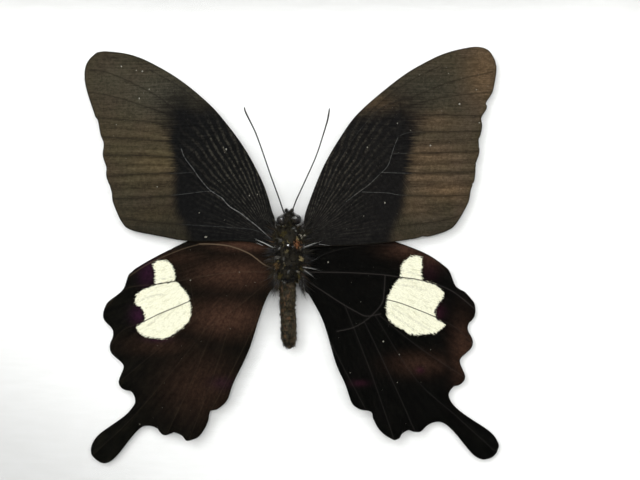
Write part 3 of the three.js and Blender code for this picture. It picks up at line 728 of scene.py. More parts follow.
# The outer, paler part of each forewing
OUTER_ZONE = {
    "left": [(50, 30), (196, 66), (214, 90), (200, 98), (184, 90), (170, 96), (161, 110), (165, 128),
             (170, 145), (173, 170), (174, 205), (180, 250), (50, 250)],
    "right": [(520, 20), (400, 50), (352, 98), (360, 108), (378, 104), (398, 98), (418, 108), (421, 124),
              (415, 142), (411, 160), (408, 180), (404, 205), (400, 250), (520, 250)],
}

# Soft spots: pixel, half width and half height in millimetres, and strength
PALE_RAYS = {
    "left": [((255, 200), 6, 8, 0.9), ((240, 172), 8, 8, 1.0), ((222, 148), 7, 7, 0.8),
             ((208, 150), 6, 6, 0.5), ((235, 225), 9, 3, 0.3)],
    "right": [((322, 205), 6, 8, 0.8), ((338, 172), 8, 9, 0.9), ((356, 146), 7, 7, 0.6),
              ((372, 130), 6, 6, 0.4), ((345, 228), 9, 3, 0.35)],
}
GOLDEN = {
    "left": [((158, 164), 7, 3.4, 0.5), ((150, 183), 7, 3, 0.2), ((150, 134), 7, 3, 0.2),
             ((150, 216), 6, 2.5, 0.3), ((120, 150), 5, 9, 0.1)],
    "right": [((425, 158), 9, 3.6, 0.55), ((425, 178), 7, 2.4, 0.5), ((430, 122), 8, 2.5, 0.45),
              ((445, 190), 7, 2.8, 0.75), ((378, 104), 5, 2, 0.8), ((484, 72), 4.5, 8, 0.9),
              ((415, 205), 5, 3, 0.35)],
}
GREY = {
    "left": [((165, 92), 13, 7, 0.9), ((120, 80), 9, 7, 0.5), ((150, 230), 14, 4, 0.6),
             ((130, 208), 9, 5, 0.3)],
    "right": [((425, 88), 13, 7, 0.95), ((455, 112), 9, 7, 0.5), ((440, 228), 12, 3, 0.7)],
}
STRIPED = {
    "left": [((150, 172), 17, 13, 1.0)],
    "right": [((430, 172), 17, 13, 1.0)],
}
WORN = {
    "left": [((165, 90), 15, 8, 0.45), ((235, 140), 8, 10, 0.25), ((130, 120), 8, 6, 0.3),
             ((250, 215), 8, 8, 0.2)],
    "right": [((430, 90), 15, 8, 0.45), ((360, 145), 9, 12, 0.3), ((470, 105), 6, 7, 0.4),
              ((330, 225), 8, 8, 0.25), ((486, 72), 5, 8, 0.5)],
}
# Brown spots on the hindwings: partly the wing's own brown, partly a painted reflection of a hand
BROWN_AND_REFLECTION = {
    "left": [((234, 274), 10, 3.6, 0.8), ((226, 318), 9, 4.2, 0.85), ((200, 385), 9, 8, 0.35),
             ((248, 245), 8, 1.6, 1.0), ((180, 258), 8, 2.2, 0.3), ((160, 345), 9, 2.5, 0.3)],
    "right": [((420, 364), 7, 2.6, 0.45), ((463, 352), 3, 8, 0.6), ((411, 250), 6, 2, 0.7),
              ((430, 258), 6, 2.5, 0.5)],
}
VIOLET = {
    "left": [((148, 272), 2.2, 3.5, 0.8), ((139, 315), 2, 2.2, 0.9), ((158, 339), 3, 0.8, 0.6),
             ((222, 383), 3, 1.5, 0.35)],
    "right": [((437, 312), 1.8, 2, 0.6), ((430, 270), 2, 3, 0.25), ((359, 383), 2.2, 0.7, 0.55),
              ((420, 370), 1, 0.8, 0.7)],
}

# Start and end pixel of an even change, and the value at each
ZONE_SOFT = ((0, 140), (0, 105), 1.5, 7.0)  # millimetres over which the outer zone fades in
# Painted shade: the lower forewings darker, the left one more than the right
LOWER_SHADE = {"left": ((0, 178), (0, 232), 1.0, 0.52), "right": ((0, 178), (0, 232), 1.0, 0.85)}
HIND_WORN = ((0, 260), (0, 440), 0.15, 0.05)

FORE_TINT = {
    "left": dict(black=(0.0038, 0.0039, 0.0041), smoke=(0.0085, 0.0085, 0.008), ray=(0.062, 0.056, 0.043),
                 olive=(0.045, 0.037, 0.021), brown=(0.050, 0.037, 0.023), grey=(0.052, 0.048, 0.034),
                 glow=(0.09, 0.067, 0.031), vein=(0.2, 0.2, 0.195), vein_dark=(0.016, 0.013, 0.009),
                 loose=(0.17, 0.15, 0.11), edge=(0.012, 0.01, 0.006)),
    "right": dict(black=(0.005, 0.0048, 0.005), smoke=(0.0125, 0.012, 0.0105), ray=(0.058, 0.05, 0.038),
                  olive=(0.05, 0.04, 0.023), brown=(0.065, 0.047, 0.031), grey=(0.038, 0.034, 0.023),
                  glow=(0.11, 0.071, 0.038), vein=(0.19, 0.19, 0.18), vein_dark=(0.018, 0.014, 0.009),
                  loose=(0.2, 0.18, 0.14), edge=(0.014, 0.011, 0.007)),
}
# The hindwing brown is partly the wing's own colour and partly a painted reflection
HIND_LEFT = dict(black=(0.0014, 0.0014, 0.001), smoke=(0.0055, 0.005, 0.003), brown=(0.068, 0.0325, 0.02),
                 violet=(0.024, 0.006, 0.018), vein=(0.14, 0.1, 0.065), vein_dark=(0.012, 0.01, 0.006),
                 cream=(0.945, 0.93, 0.725), cream_dark=(0.62, 0.6, 0.4), loose=(0.1, 0.085, 0.06),
                 edge=(0.004, 0.004, 0.003))
HIND_RIGHT = dict(HIND_LEFT, black=(0.0008, 0.0008, 0.0006), smoke=(0.0028, 0.0027, 0.002),
                  violet=(0.03, 0.006, 0.014), vein=(0.15, 0.13, 0.12))
HIND_TINT = {"left": HIND_LEFT, "right": HIND_RIGHT}


def build_wings():
    for side in SIDES:
        scales = forewing_paint(f"forewing_scales_{side}", FORE_TINT[side])
        build_wing(side, "fore", scales, FOREWING_VEINS[side],
                   zone=depth_look(OUTER_ZONE[side]), soft=slope_look(*ZONE_SOFT),
                   stripes=spots_look(STRIPED[side]), rays=spots_look(PALE_RAYS[side]),
                   glow=spots_look(GOLDEN[side]), grey=spots_look(GREY[side]), worn=spots_look(WORN[side]),
                   shade=slope_look(*LOWER_SHADE[side]))
        scales = hindwing_paint(f"hindwing_scales_{side}", HIND_TINT[side])
        build_wing(side, "hind", scales, HINDWING_VEINS[side], patch=depth_look(*PATCHES[side]),
                   glow=spots_look(BROWN_AND_REFLECTION[side]), violet=spots_look(VIOLET[side]),
                   crease=line_look(CREASES[side], 0.13, 0.28),
                   worn=slope_look(*HIND_WORN))


# Body

def bands(first, count, sides):
    """The faces of that many bands, between rings of points that follow each other from first."""
    faces = []
    for a in range(first, first + count * sides, sides):
        b = a + sides
        faces += [[a + i, b + i, b + (i + 1) % sides, a + (i + 1) % sides] for i in range(sides)]
    return faces


def sweep(centres, radii, side, up, sides):
    """Points and faces of a closed round solid whose rings lie along side and up."""
    radii = np.asarray(radii, float)[:, None]
    angles = np.linspace(0, 2 * math.pi, sides, endpoint=False)
    rings = (centres[:, None] + side[:, None] * (radii * np.cos(angles))[..., None]
             + up[:, None] * (radii * np.sin(angles))[..., None])
    points = rings.reshape(-1, 3)
    last = len(points) - sides
    faces = bands(0, len(centres) - 1, sides)
    faces += [list(range(sides)), [last + i for i in reversed(range(sides))]]
    return points, outward(points, faces)


def tube(centres, radii, sides):
    """A closed round solid along centres, square to its run."""
    centres = np.asarray(centres, float)
    run = np.gradient(centres, axis=0)
    run /= np.linalg.norm(run, axis=1)[:, None]
    side = np.cross(run, (0, 1, 0))
    small = np.linalg.norm(side, axis=1) < 1e-6
    side[small] = (1, 0, 0)
    side /= np.linalg.norm(side, axis=1)[:, None]
    return sweep(centres, radii, side, np.cross(side, run), sides)


def outward(points, faces):
    """Turns every face over if the solid they close is inside out."""
    volume = 0.0
    for face in faces:
        a = points[face[0]]
        for b, c in zip(face[1:], face[2:]):
            volume += a @ np.cross(points[b], points[c])
    return faces if volume > 0 else [f[::-1] for f in faces]


HAIR_SIDES = 3


class Hairs:
    """Gathers single hairs, each a thin tapering blade, into one piece."""

    def __init__(self, seed):
        self.rng = np.random.default_rng(seed)
        self.points = []
        self.faces = []
        self.tones = []
        self.warmths = []

    def add(self, root, direction, length, width, tone, warm=0.0, droop=Vector((0, 0, 0))):
        direction = direction.normalized()
        side = direction.orthogonal().normalized()
        other = direction.cross(side)
        start = len(self.points)
        for share, thin in ((0.0, 1.0), (0.5, 0.8)):
            middle = root + direction * (length * share) + droop * (share * share * length)
            for i in range(HAIR_SIDES):
                turn = 2 * math.pi * i / HAIR_SIDES
                out = side * math.cos(turn) + other * math.sin(turn)
                self.points.append(middle + out * width * thin / 2)
        self.points.append(root + direction * length + droop * length)
        tip = start + 2 * HAIR_SIDES
        self.faces.append([start + i for i in reversed(range(HAIR_SIDES))])
        for i in range(HAIR_SIDES):
            j = (i + 1) % HAIR_SIDES
            a, b = start, start + HAIR_SIDES
            self.faces.append([a + i, a + j, b + j, b + i])
            self.faces.append([b + i, b + j, tip])
        self.tones += [float(np.clip(tone, 0, 1))] * (2 * HAIR_SIDES + 1)
        self.warmths += [warm] * (2 * HAIR_SIDES + 1)

    def tuft(self, root, direction, length, tone, warm, count=9, width=0.07 * MM, loose=0.22):
        """A few hairs of one tone that lie together."""
        for _ in range(count):
            start = root + Vector(self.rng.normal(0, 0.1, 3)) * MM
            lean = direction.normalized() + Vector(self.rng.normal(0, loose, 3))
            reach = length * self.rng.uniform(0.6, 1.1)
            self.add(start, lean, reach, width, tone * self.rng.uniform(0.7, 1.15), warm)

    def build(self, name, material, slot="body_hair"):
        return add_mesh(name, self.points, self.faces, material, slot, tone=self.tones, warm=self.warmths)


def nearest_look(point, marks, plain):
    """The tone and warmth of the mark that covers a point, or the plain ones between the marks."""
    for px, py, radius, tone, warm in marks:
        centre = place(px, py, COAT_HEIGHT)
        if math.hypot(point.x - centre.x, point.z - centre.z) < radius * PIXEL:
            return tone, warm
    return plain


def scatter(piece, count, rng):
    """Random points on a piece with their outward directions, evenly by area."""
    mesh = piece.data
    mesh.calc_loop_triangles()
    corners = np.array([[mesh.vertices[i].co[:] for i in t.vertices] for t in mesh.loop_triangles])
    normals = np.array([t.normal[:] for t in mesh.loop_triangles])
    areas = np.array([t.area for t in mesh.loop_triangles])
    picked = rng.choice(len(areas), count, p=areas / areas.sum())
    u, v = rng.random(count), rng.random(count)
    over = u + v > 1
    u[over], v[over] = 1 - u[over], 1 - v[over]
    a, b, c = corners[picked, 0], corners[picked, 1], corners[picked, 2]
    spots = a + u[:, None] * (b - a) + v[:, None] * (c - a)
    return [(Vector(spot), Vector(normal)) for spot, normal in zip(spots, normals[picked])]


def node_profile(node, rings):
    """Centre and half width of a body node at evenly spaced heights, from its own mesh."""
    co = np.array([v.co[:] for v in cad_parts[node].data.vertices])
    low, high = co[:, 2].min(), co[:, 2].max()
    levels = np.linspace(low, high, rings)
    spacing = (high - low) / 8
    centres, radii = [], []
    for level in levels:
        near = co[np.abs(co[:, 2] - level) < spacing]
        x, y = near[:, 0], near[:, 1]
        centres.append(((x.min() + x.max()) / 2, (y.min() + y.max()) / 2, level))
        radii.append((x.max() - x.min()) / 2)
    return np.array(centres), np.array(radii)


TUFTS = {"thorax": 900, "tegula": 60, "head": 230, "collar": 110, "abdomen": 620}
PALP_HAIRS = 260
LEG_SPINES = 70
COAT_HEIGHT = 7  # millimetres over the board, where pixels of the body hold

# Where the coat is lighter: pixel, radius in pixels, tone and warmth
THORAX_MARKS = [
    (301.5, 235.5, 2.2, 1.0, 0.2), (294, 232, 1.4, 0.75, 0.1), (296, 237.5, 1.5, 0.9, 0.5),
    (296.5, 243, 4, 0.8, 1.0), (301, 243, 2, 0.6, 0.8), (284, 233, 3.6, 0.4, 0.45),
    (288, 237, 2.6, 0.34, 0.4), (280, 233, 1.4, 0.6, 0.1), (281, 239, 2.2, 0.62, 0.1),
    (278, 245, 1.6, 0.5, 0.1), (300.5, 258, 2.6, 0.85, 0.45), (301, 268, 3, 0.5, 0.5),
    (298, 275, 3, 0.55, 0.6), (277, 265, 3.4, 0.55, 0.75), (281, 274, 3, 0.5, 0.5),
    (284, 258, 1.6, 0.6, 0.1), (279, 257, 2, 0.62, 0.15), (287, 260, 1.2, 0.6, 0.0),
    (292, 264, 1.3, 0.45, 0.0), (294, 252, 1.3, 0.4, 0.2),
]


def build_thorax(skin, hair):
    low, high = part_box("thorax")
    middle = middle_of("thorax")
    half = (high - low) / 2
    shape = spline([(-1.0, 0.5), (-0.93, 0.68), (-0.75, 0.86), (-0.4, 0.95), (0.0, 0.96), (0.4, 0.94),
                    (0.75, 0.88), (0.93, 0.76), (1.0, 0.6)], 0.08)
    centres = [(middle.x, middle.y, middle.z + t * half.z) for t, _ in shape]
    points, faces = tube(centres, [r * half.x for _, r in shape], 40)
    points = np.array([roughen(p, 900, 0.2) for p in points])
    body = add_mesh("thorax_skin", points, faces, skin, "body_hair", ["thorax"])
    coat = Hairs(21)
    rng = coat.rng
    for root, normal in scatter(body, TUFTS["thorax"], rng):
        side = (root.x - BODY_X) / half.x
        plain = (rng.choice([0.0, 0.03, 0.1, 0.7], p=[0.58, 0.22, 0.1, 0.1]), rng.choice([0.0, 0.3, 0.5]))
        tone, warm = nearest_look(root, THORAX_MARKS, plain)
        lean = normal + Vector((side * 0.35, 0, -0.7)) + Vector(rng.normal(0, 0.3, 3))
        coat.tuft(root - normal * 0.05 * MM, lean, rng.uniform(0.6, 1.3) * MM, tone, warm)
    for side, end in OUTWARD.items():
        add_tegula(coat, skin, side, end)
    coat.build("thorax_coat", hair)


TEGULA_OUT_PX = 12.6  # from the middle of the body
TEGULA_ROW_PX = 236


def add_tegula(coat, skin, side, end):
    """The hairy scale that covers a forewing's joint."""
    centre = place(BODY_PX + end * TEGULA_OUT_PX, TEGULA_ROW_PX, 7.1)
    points, faces = ball(centre, (0.55 * MM, 0.5 * MM, 1.5 * MM), 16, 12)
    points = np.array([roughen(p, 1500, 0.1) for p in points])
    lobe = add_mesh(f"tegula_{side}", points, faces, skin, "body_hair")
    for root, normal in scatter(lobe, TUFTS["tegula"], coat.rng):
        tone, warm = nearest_look(root, THORAX_MARKS, (coat.rng.uniform(0.03, 0.3), 0.4))
        coat.tuft(root, normal + Vector((end * 0.5, -0.2, -0.4)), 0.8 * MM, tone, warm, 7)


def roughen(point, scale, amount):
    """Moves a point a little by smooth noise."""
    return np.array(point) + np.array(noise.noise_vector(Vector(point) * scale)) * amount * MM


EYE_HIGHLIGHT_PX = (294.0, 217.6)  # white hairs at the inner edge of the right eye, a painted highlight on the eye


def build_head(skin, hair, eye):
    low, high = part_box("head")
    middle = middle_of("head")
    radius = (high.z - low.z) / 2
    points, faces = ball(middle, (radius * 0.92, radius * 0.95, radius * 0.95), 32, 20)
    points = np.array([roughen(p, 1100, 0.12) for p in points])
    head = add_mesh("head_skin", points, faces, skin, "body_hair", ["head"])
    coat = Hairs(5)
    rng = coat.rng
    for root, normal in scatter(head, TUFTS["head"], rng):
        tone = rng.choice([0.03, 0.12, 0.3, 0.5], p=[0.45, 0.3, 0.17, 0.08])
        rise = 0.4 if root.z > middle.z else -0.3
        lean = normal + Vector((0, -0.2, rise)) + Vector(rng.normal(0, 0.25, 3))
        coat.tuft(root, lean, rng.uniform(0.4, 0.85) * MM, tone, rng.choice([0.0, 0.4]), 7, 0.06 * MM)
    for _ in range(TUFTS["collar"]):
        turn = rng.uniform(0, math.pi)
        root = Vector((middle.x + math.cos(turn) * 2.6 * MM, middle.y - math.sin(turn) * 1.6 * MM,
                       low.z - rng.uniform(-0.2, 0.9) * MM))
        lean = Vector((math.cos(turn) * 0.7, -math.sin(turn) * 0.6, rng.uniform(-0.8, 0.5)))
        coat.tuft(root, lean, rng.uniform(0.5, 0.9) * MM, rng.choice([0.05, 0.15, 0.35]), 0.4, 7)
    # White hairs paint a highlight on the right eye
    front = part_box("eye_right")[0].y
    for across in rng.uniform(-1.6, 1.6, 16):
        x, z = flat((EYE_HIGHLIGHT_PX[0] + across, EYE_HIGHLIGHT_PX[1] + rng.uniform(-0.5, 0.5)), front)
        coat.tuft(Vector((x, front, z)), Vector((0.8, -0.3, -0.2)), 0.35 * MM, 1.0, 0.0, 7)
    coat.build("head_coat", hair)
    for side in SIDES:
        low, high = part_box(f"eye_{side}")
        points, faces = ball(middle_of(f"eye_{side}"), [(high.x - low.x) / 2] * 3, 40, 26)
        add_mesh(f"eye_{side}_facets", points, faces, eye, "eye", [f"eye_{side}"])
    build_palps(skin, hair, rng)


def ball(centre, radii, sides, rings):
    """Points and faces of a closed ellipsoid."""
    points = [centre + Vector((0, 0, radii[2]))]
    for ring in range(1, rings):
        polar = math.pi * ring / rings
        for i in range(sides):
            turn = 2 * math.pi * i / sides
            points.append(centre + Vector((radii[0] * math.sin(polar) * math.cos(turn),
                                           radii[1] * math.sin(polar) * math.sin(turn),
                                           radii[2] * math.cos(polar))))
    points.append(centre - Vector((0, 0, radii[2])))
    last = len(points) - 1
    faces = [[0, 1 + i, 1 + (i + 1) % sides] for i in range(sides)]
    faces += bands(1, rings - 2, sides)
    faces += [[last, last - sides + (i + 1) % sides, last - sides + i] for i in range(sides)]
    points = np.array([tuple(p) for p in points])
    return points, outward(points, faces)


def build_palps(skin, hair, rng):
    for side in SIDES:
        low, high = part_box(f"palp_{side}")
        x = (low.x + high.x) / 2
        path = spline([(x, high.y - 0.3 * MM, low.z + 0.3 * MM),
                       (x, (low.y + high.y) / 2, high.z - 0.45 * MM),
                       (x, low.y + 0.2 * MM, high.z - 0.3 * MM)], 0.12 * MM)
        radii = np.interp(np.linspace(0, 1, len(path)), [0, 0.4, 0.8, 1], [0.28, 0.36, 0.3, 0.08]) * MM
        points, faces = tube(path, radii, 14)
        palp = add_mesh(f"palp_{side}_skin", points, faces, skin, "body_hair", [f"palp_{side}"])
        coat = Hairs(8)
        for root, normal in scatter(palp, PALP_HAIRS, rng):
            lean = normal * 0.8 + Vector((0, -0.6, 0.6)) + Vector(rng.normal(0, 0.2, 3))
            coat.add(root, lean, rng.uniform(0.2, 0.45) * MM, 0.045 * MM, rng.normal(0.15, 0.1), 0.3)
        coat.build(f"palp_{side}_coat", hair)


ABDOMEN_RINGS = 8
ABDOMEN_SIDES = 44


def build_abdomen(skin, hair):
    """A tapering abdomen of overlapping rings, each a little fuller at its hind edge."""
    centres, radii = node_profile("abdomen", 96)
    t = np.linspace(0, 1, len(centres))
    smooth = np.ones(9) / 9
    radii = np.convolve(np.pad(radii, 4, mode="edge"), smooth, mode="valid") * 0.95
    radii *= np.sqrt(np.clip(1 - np.maximum(0, 0.12 - t) ** 2 / 0.0144 * 0.85, 0, 1))
    low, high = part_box("abdomen")
    step = t * ABDOMEN_RINGS
    swell = 0.94 + 0.07 * (1 - (step - np.floor(step))) ** 0.7
    points, faces = tube(centres, radii * swell * 0.97, ABDOMEN_SIDES)
    points = np.array([roughen(p, 700, 0.07) for p in points])
    points[:, 1] = np.clip(points[:, 1], low.y, high.y)
    ring = np.repeat(np.exp(-((step - np.round(step)) / 0.16) ** 2), ABDOMEN_SIDES)
    flank = np.clip((points[:, 0] - BODY_X) / (1.6 * MM), 0, 1) ** 1.5
    piece = add_mesh("abdomen_rings", points, faces, skin, "body_hair", ["abdomen"], ring=ring, flank=flank)
    coat = Hairs(9)
    rng = coat.rng
    for root, normal in scatter(piece, TUFTS["abdomen"], rng):
        upper = (root.z - low.z) / (high.z - low.z)
        lighter = 0.07 * (root.x > centres[:, 0].mean() + 0.4 * MM)
        tone = rng.choice([0.0, 0.06, 0.16, 0.42], p=[0.38, 0.32, 0.2, 0.1]) + lighter
        lean = normal * 0.3 + Vector((0, 0, -1)) + Vector(rng.normal(0, 0.14, 3))
        length = rng.uniform(0.35, 0.65) * (1 + 4 * max(0.0, upper - 0.8)) * MM
        warm = rng.choice([0.35, 0.5, 0.7], p=[0.5, 0.35, 0.15])
        coat.tuft(root, lean, length, tone, warm, 7, 0.055 * MM, 0.15)
    coat.build("abdomen_coat", hair)


# Pixel and height in millimetres over the board
ANTENNA_PX = {
    "left": [(284.4, 213.2, 6.1), (283, 210, 6.6), (279.6, 200, 7), (276, 190, 7.4), (270.2, 174, 8),
             (265.4, 160, 8.5), (262, 150, 8.8), (258.4, 140, 9), (254.4, 130, 9.2), (250, 121, 9.3),
             (245.6, 112, 9.4), (244.4, 107, 9.4)],
    "right": [(291.8, 212.2, 6.2), (292.8, 209.4, 6.6), (296.4, 200, 7), (301, 190, 7.4),
              (305.6, 180, 7.8), (310.2, 170, 8.1), (314.6, 160, 8.4), (318.4, 150, 8.7),
              (321.6, 140, 8.9), (325, 129, 9.1), (327.6, 120, 9.2), (329, 112, 9.3),
              (329.4, 108.2, 9.3)],
}


def build_antennae(horn):
    """Thin ringed shafts that thicken into a slender club."""
    for side, stops in ANTENNA_PX.items():
        path = spline([place(*stop) for stop in stops], 0.1 * MM)
        t = np.linspace(0, 1, len(path))
        radii = np.interp(t, [0, 0.05, 0.55, 0.8, 0.93, 0.985, 1],
                          [0.2, 0.17, 0.155, 0.175, 0.22, 0.17, 0.05])
        beads = 1 - 0.12 * (np.arange(len(path)) % 4 == 0)
        points, faces = tube(path, radii * beads * MM, 10)
        add_mesh(f"antenna_{side}_shaft", points, faces, horn, "horn", [f"antenna_{side}"])


# Joints of each leg: out from the middle of the body, up from it, and height over the board
LEG_MM = {
    "front": [(1.2, 4.2, 1.75), (3.3, 5.2, 2.4), (4.4, 2.2, 1.6), (4, -0.6, 0.75)],
    "middle": [(1.2, 0.6, 1.7), (2.9, 0.3, 2.3), (5.4, -0.9, 1.7), (5.2, -4, 0.75)],
    "hind": [(1.2, -2.6, 1.7), (2.8, -3.6, 2.2), (4.2, -5.4, 1.5), (4, -7.8, 0.75)],
}


def build_legs(horn):
    """Folded legs: a thicker thigh, a slim shin and a ringed foot, with short spines."""
    rng = np.random.default_rng(31)
    for pair, joints in LEG_MM.items():
        for side, end in OUTWARD.items():
            stops = [Vector((BODY_X + end * away * MM, BOARD_Y - height * MM, MIDDLE_Z + along * MM))
                     for away, along, height in joints]
            path = spline([tuple(s) for s in stops], 0.12 * MM)
            t = np.linspace(0, 1, len(path))
            radii = np.interp(t, [0, 0.1, 0.34, 0.4, 0.66, 0.7, 1],
                              [0.24, 0.26, 0.17, 0.16, 0.13, 0.15, 0.07])
            rings = 1 - 0.18 * ((t > 0.68) & (np.arange(len(path)) % 6 == 0))
            points, faces = tube(path, radii * rings * MM, 10)
            leg = add_mesh(f"leg_{pair}_{side}_jointed", points, faces, horn, "horn", [f"leg_{pair}_{side}"])
            spines = Hairs(33)
            for root, normal in scatter(leg, LEG_SPINES, rng):
                length = rng.uniform(0.12, 0.25) * MM
                spines.add(root, normal + Vector((0, 0, -0.8)), length, 0.03 * MM, 0.05)
            spines.build(f"leg_{pair}_{side}_spines", horn, "horn")


PROBOSCIS_TURNS = 2.25


def build_proboscis(horn):
    """The feeding tube, coiled under the head."""
    low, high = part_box("proboscis")
    middle = middle_of("proboscis")
    radius = (high.z - low.z) / 2 - 0.14 * MM
    turns = np.linspace(0, PROBOSCIS_TURNS * 2 * math.pi, 120)
    reach = radius * (1 - turns / turns[-1] * 0.88)
    path = np.column_stack([np.full_like(turns, middle.x), middle.y + np.cos(turns) * reach,
                            middle.z + np.sin(turns) * reach])
    thick = np.interp(np.linspace(0, 1, len(path)), [0, 1], [0.13, 0.06]) * MM
    across = np.tile((1.0, 0, 0), (len(path), 1))
    out = np.column_stack([np.zeros_like(turns), np.cos(turns), np.sin(turns)])
    points, faces = sweep(path, thick, across, out, 8)
    add_mesh("proboscis_coil", points, faces, horn, "horn", ["proboscis"])


# Pale strands at the wing bases: start and end pixel, how many, how they spread in pixels and their tone
STRANDS_PX = [
    ((273.5, 247.4), (253, 237), 5, 0.25, 1.0), ((263, 245.4), (255, 242), 3, 0.3, 0.8),
    ((273, 250), (264, 247), 2, 0.6, 0.5), ((303.5, 247.5), (323, 239.6), 4, 0.3, 0.8),
    ((319, 244.3), (331, 245.5), 3, 0.3, 0.65), ((305.8, 252.6), (316.7, 247.7), 2, 0.6, 0.6),
    ((310.6, 261), (322.7, 256.2), 2, 0.6, 0.55), ((303, 267), (325, 270), 4, 0.35, 0.75),
    ((304.5, 270), (316, 278.6), 4, 0.35, 0.8), ((306, 256), (314, 259), 2, 0.8, 0.45),
    ((272, 258), (263, 262), 2, 0.8, 0.45), ((272, 252), (262, 253), 2, 0.8, 0.5),
]
FOREWING_BASE_END = 252  # pixel row below which strands lie on the hindwings
STRAND_DROOP = Vector((0, 0.03, -0.04))
FINE_STRANDS = 1500
FINE_ROWS_PX = (224, 286)  # rows where fine strands leave the thorax
FINE_ROOTS_PX = (9, 13)  # their roots from the middle of the body
FINE_REACH_PX = (4, 20)
FINE_LEVEL_PX = 250  # strands above this row rise and those below it fall
FINE_SHORT_PX = 230  # strands above this row are half as long


def over_wing(px, lift):
    """A photograph pixel as a point that far in millimetres in front of the wing base there."""
    pair = "fore" if px[1] < FOREWING_BASE_END else "hind"
    side = "left" if px[0] < BODY_PX else "right"
    node = f"{pair}wing_{side}"
    _, slope, level = FRONTS[node]
    x, z = on_wing(node, px)
    return Vector((x, level + slope * x - lift * MM, z))


def build_strands(hair):
    """Long hairs that lie from the thorax over the wing bases."""
    strands = Hairs(17)
    rng = strands.rng
    for start, end, count, spread, tone in STRANDS_PX:
        for _ in range(count):
            root = over_wing(rng.normal(start, spread), 0.5)
            tip = over_wing(rng.normal(end, spread), 0.5)
            length = (tip - root).length * rng.uniform(0.8, 1.05)
            strands.add(root, tip - root, length, 0.065 * MM, rng.normal(tone, 0.06), 0.0, STRAND_DROOP)
    for _ in range(FINE_STRANDS):
        end = rng.choice([-1, 1])
        py = rng.uniform(*FINE_ROWS_PX)
        fan = (FINE_LEVEL_PX - py) / 30 + rng.normal(0, 0.25)
        start = np.array((BODY_PX + end * rng.uniform(*FINE_ROOTS_PX), py))
        reach = rng.uniform(*FINE_REACH_PX) * (0.5 if py < FINE_SHORT_PX else 1)
        stop = start + np.array((end * math.cos(fan), -math.sin(fan))) * reach
        root, tip = over_wing(start, 0.35), over_wing(stop, rng.uniform(0.15, 0.5))
        tone = rng.choice([0.04, 0.14, 0.3, 0.48], p=[0.42, 0.3, 0.2, 0.08])
        warm = rng.choice([0.0, 0.5, 0.8], p=[0.6, 0.28, 0.12])
        strands.add(root, tip - root, (tip - root).length, rng.uniform(0.05, 0.085) * MM, tone, warm)
    strands.build("wing_base_strands", hair)


# Dust and loose scales on the wings: pixel and size in millimetres
SPECKS_PX = [
    ((227, 150), 0.62), ((224, 148), 0.3), ((206.5, 237), 0.75), ((122, 67), 0.4), ((143, 72), 0.45),
    ((140, 99), 0.5), ((158, 187), 0.45), ((137, 71), 0.3), ((367, 148), 0.55), ((459, 104.5), 0.5),
    ((430, 146), 0.45), ((384.5, 203), 0.55), ((328, 262), 0.6), ((383, 341), 0.5), ((397, 124), 0.35),
    ((476, 90), 0.35), ((479, 123), 0.45), ((117, 125), 0.3), ((150, 90), 0.3), ((250, 196), 0.35),
    ((258, 195), 0.4), ((200, 213), 0.35), ((240, 272), 0.3), ((191, 280), 0.3), ((397, 382), 0.3),
    ((410, 131), 0.3), ((399, 354), 0.3), ((140, 424), 0.4), ((350, 372), 0.28), ((448, 74), 0.3),
]


FINE_SPECKS = 120
FINE_COLUMNS_PX = (90, 490)
FINE_LINES_PX = (55, 440)


def front_at(wings, x, z):
    """The y value of the front of the wing at x and z, or of the board beside the wings."""
    for wing in wings:
        hit, location, _, _ = wing.ray_cast(Vector((x, -1, z)), Vector((0, 1, 0)))
        if hit:
            return location.y
    return BOARD_Y


def build_specks(material):
    """Fixed specks, and fine ones anywhere on the wings."""
    rng = np.random.default_rng(41)
    wings = [bpy.data.objects[f"{wing}_scaled"] for wing in WINGS]
    points, faces = [], []
    spots = [(flat(px), size) for px, size in SPECKS_PX]
    for _ in range(FINE_SPECKS):
        px = (rng.uniform(*FINE_COLUMNS_PX), rng.uniform(*FINE_LINES_PX))
        spots.append((flat(px), rng.uniform(0.08, 0.2)))
    for (x, z), size in spots:
        y = front_at(wings, x, z)
        if y == BOARD_Y:
            continue
        centre = Vector((x, y - 0.08 * size * MM, z))
        radii = [size * MM * rng.uniform(0.22, 0.5), size * MM * 0.18, size * MM * rng.uniform(0.22, 0.5)]
        grain, sides = ball(centre, radii, 7, 5)
        faces += [[i + len(points) for i in side] for side in sides]
        points += [roughen(p, 3000, 0.09 * size) for p in grain]
    add_mesh("wing_dust", points, faces, material, "wing_scales", smooth=False)


# The frame's own pieces keep their solid nodes and get materials and softened edges

def dress(node, material, soften=0.0):
    """Gives a node its material, and edges rounded by soften millimetres."""
    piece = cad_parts[node]
    piece.data.materials.clear()
    piece.data.materials.append(material)
    if soften:
        weld = piece.modifiers.new("weld", "WELD")
        weld.merge_threshold = 0.005 * MM
        bevel = piece.modifiers.new("soften", "BEVEL")
        bevel.width = soften * MM
        bevel.segments = 2
        bevel.limit_method = "ANGLE"
        bevel.angle_limit = math.radians(35)
        bevel.harden_normals = False


